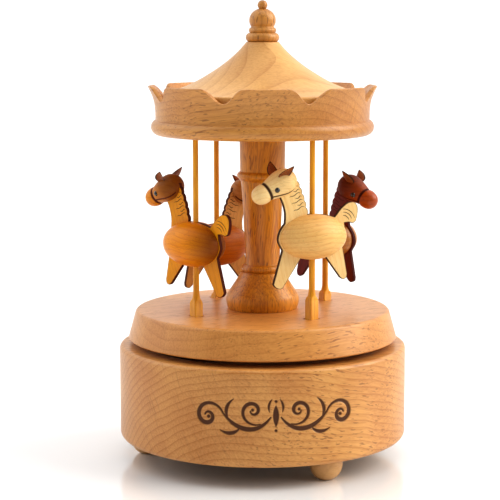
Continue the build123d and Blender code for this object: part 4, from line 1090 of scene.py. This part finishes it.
kept_finishes = {
    "beech_cam": raw_beech,
    "plywood": plywood("birch_plywood"),
    "cast_zinc": metal("cast_zinc_grey", (176, 176, 172), (128, 128, 126), (3.0, 3.0, 3.0), 0.42, 0.08),
    "steel": metal("brushed_steel", (206, 204, 200), (150, 148, 146), (0.4, 6.0, 6.0), 0.22),
    "spring_steel": metal("blued_spring_steel", (120, 122, 132), (70, 72, 84), (5.0, 5.0, 0.4), 0.28),
    "brass": metal("lacquered_brass", (224, 182, 96), (182, 138, 58), (0.6, 5.0, 5.0), 0.2),
}
for node, thing in frame["nodes"].items():
    if not thing.hide_render:
        for place in thing.material_slots:
            place.material = kept_finishes[slot_of_node[node]].material
shown = [n for n, thing in frame["nodes"].items() if not thing.hide_render]
print("CAD nodes still shown:", len(shown), sorted(shown))

# %% [markdown]
# ## The studio
# A white sweep under soft light. One large soft box stands at the right and a weaker one at
# the left, so the drum's right flank is bright and its front is deeper in colour.

# %% Floor and lights
def floor_finish():
    """White acrylic: bright, with a faint reflection that breaks up a little."""
    f = Finish("floor_white", Specular_IOR_Level=0.9)
    at = f.place()
    wave = f.noise(at, 0.01, 2.0)
    colour = f.mix(wave, paint(250, 250, 250), paint(246, 246, 247))
    return f.feed(Base_Color=colour, Roughness=wave * 0.08 + 0.1)


floor_mesh = bpy.data.meshes.new("floor")
floor_mesh.from_pydata([(-3, -2, 0), (3, -2, 0), (3, 4, 0), (-3, 4, 0)], [], [(0, 1, 2, 3)])
floor_mesh.materials.append(floor_finish().material)
floor = bpy.data.objects.new("floor", floor_mesh)
bpy.context.scene.collection.objects.link(floor)


def studio_world(behind=1.15, front=0.34):
    """Light from all round: white behind the box and overhead, dimmer from the room in front."""
    world = bpy.data.worlds.new("studio")
    world.use_nodes = True
    tree = world.node_tree
    way, axis = tree.nodes.new("ShaderNodeTexCoord"), tree.nodes.new("ShaderNodeSeparateXYZ")
    ramp = tree.nodes.new("ShaderNodeMapRange")
    for socket, value in zip(ramp.inputs[1:5], (-0.35, 0.55, front, behind)):
        socket.default_value = value
    tree.links.new(way.outputs[0], axis.inputs[0])
    tree.links.new(axis.outputs[1], ramp.inputs[0])
    tree.links.new(ramp.outputs[0], tree.nodes["Background"].inputs[1])
    tree.nodes["Background"].inputs[0].default_value = (1.0, 1.0, 1.0, 1.0)
    return world


bpy.context.scene.world = studio_world()


def soft_sun(name, source, strength, spread, colour=(1.0, 1.0, 1.0)):
    """Even light from one direction, spread degrees wide, so it doesn't fade over the floor."""
    light = bpy.data.lights.new(name, "SUN")
    light.energy, light.angle, light.color = strength, math.radians(spread), colour
    lamp = bpy.data.objects.new(name, light)
    lamp.rotation_euler = (-Vector(source)).to_track_quat("-Z", "Y").to_euler()
    bpy.context.scene.collection.objects.link(lamp)
    return lamp


soft_sun("key_light", (1.0, -0.06, 0.62), 2.6, 50, (1.0, 0.98, 0.92))
soft_sun("left_light", (-1.0, 0.0, 0.6), 0.85, 60)
soft_sun("top_light", (0.05, -0.1, 1.0), 0.7, 60)
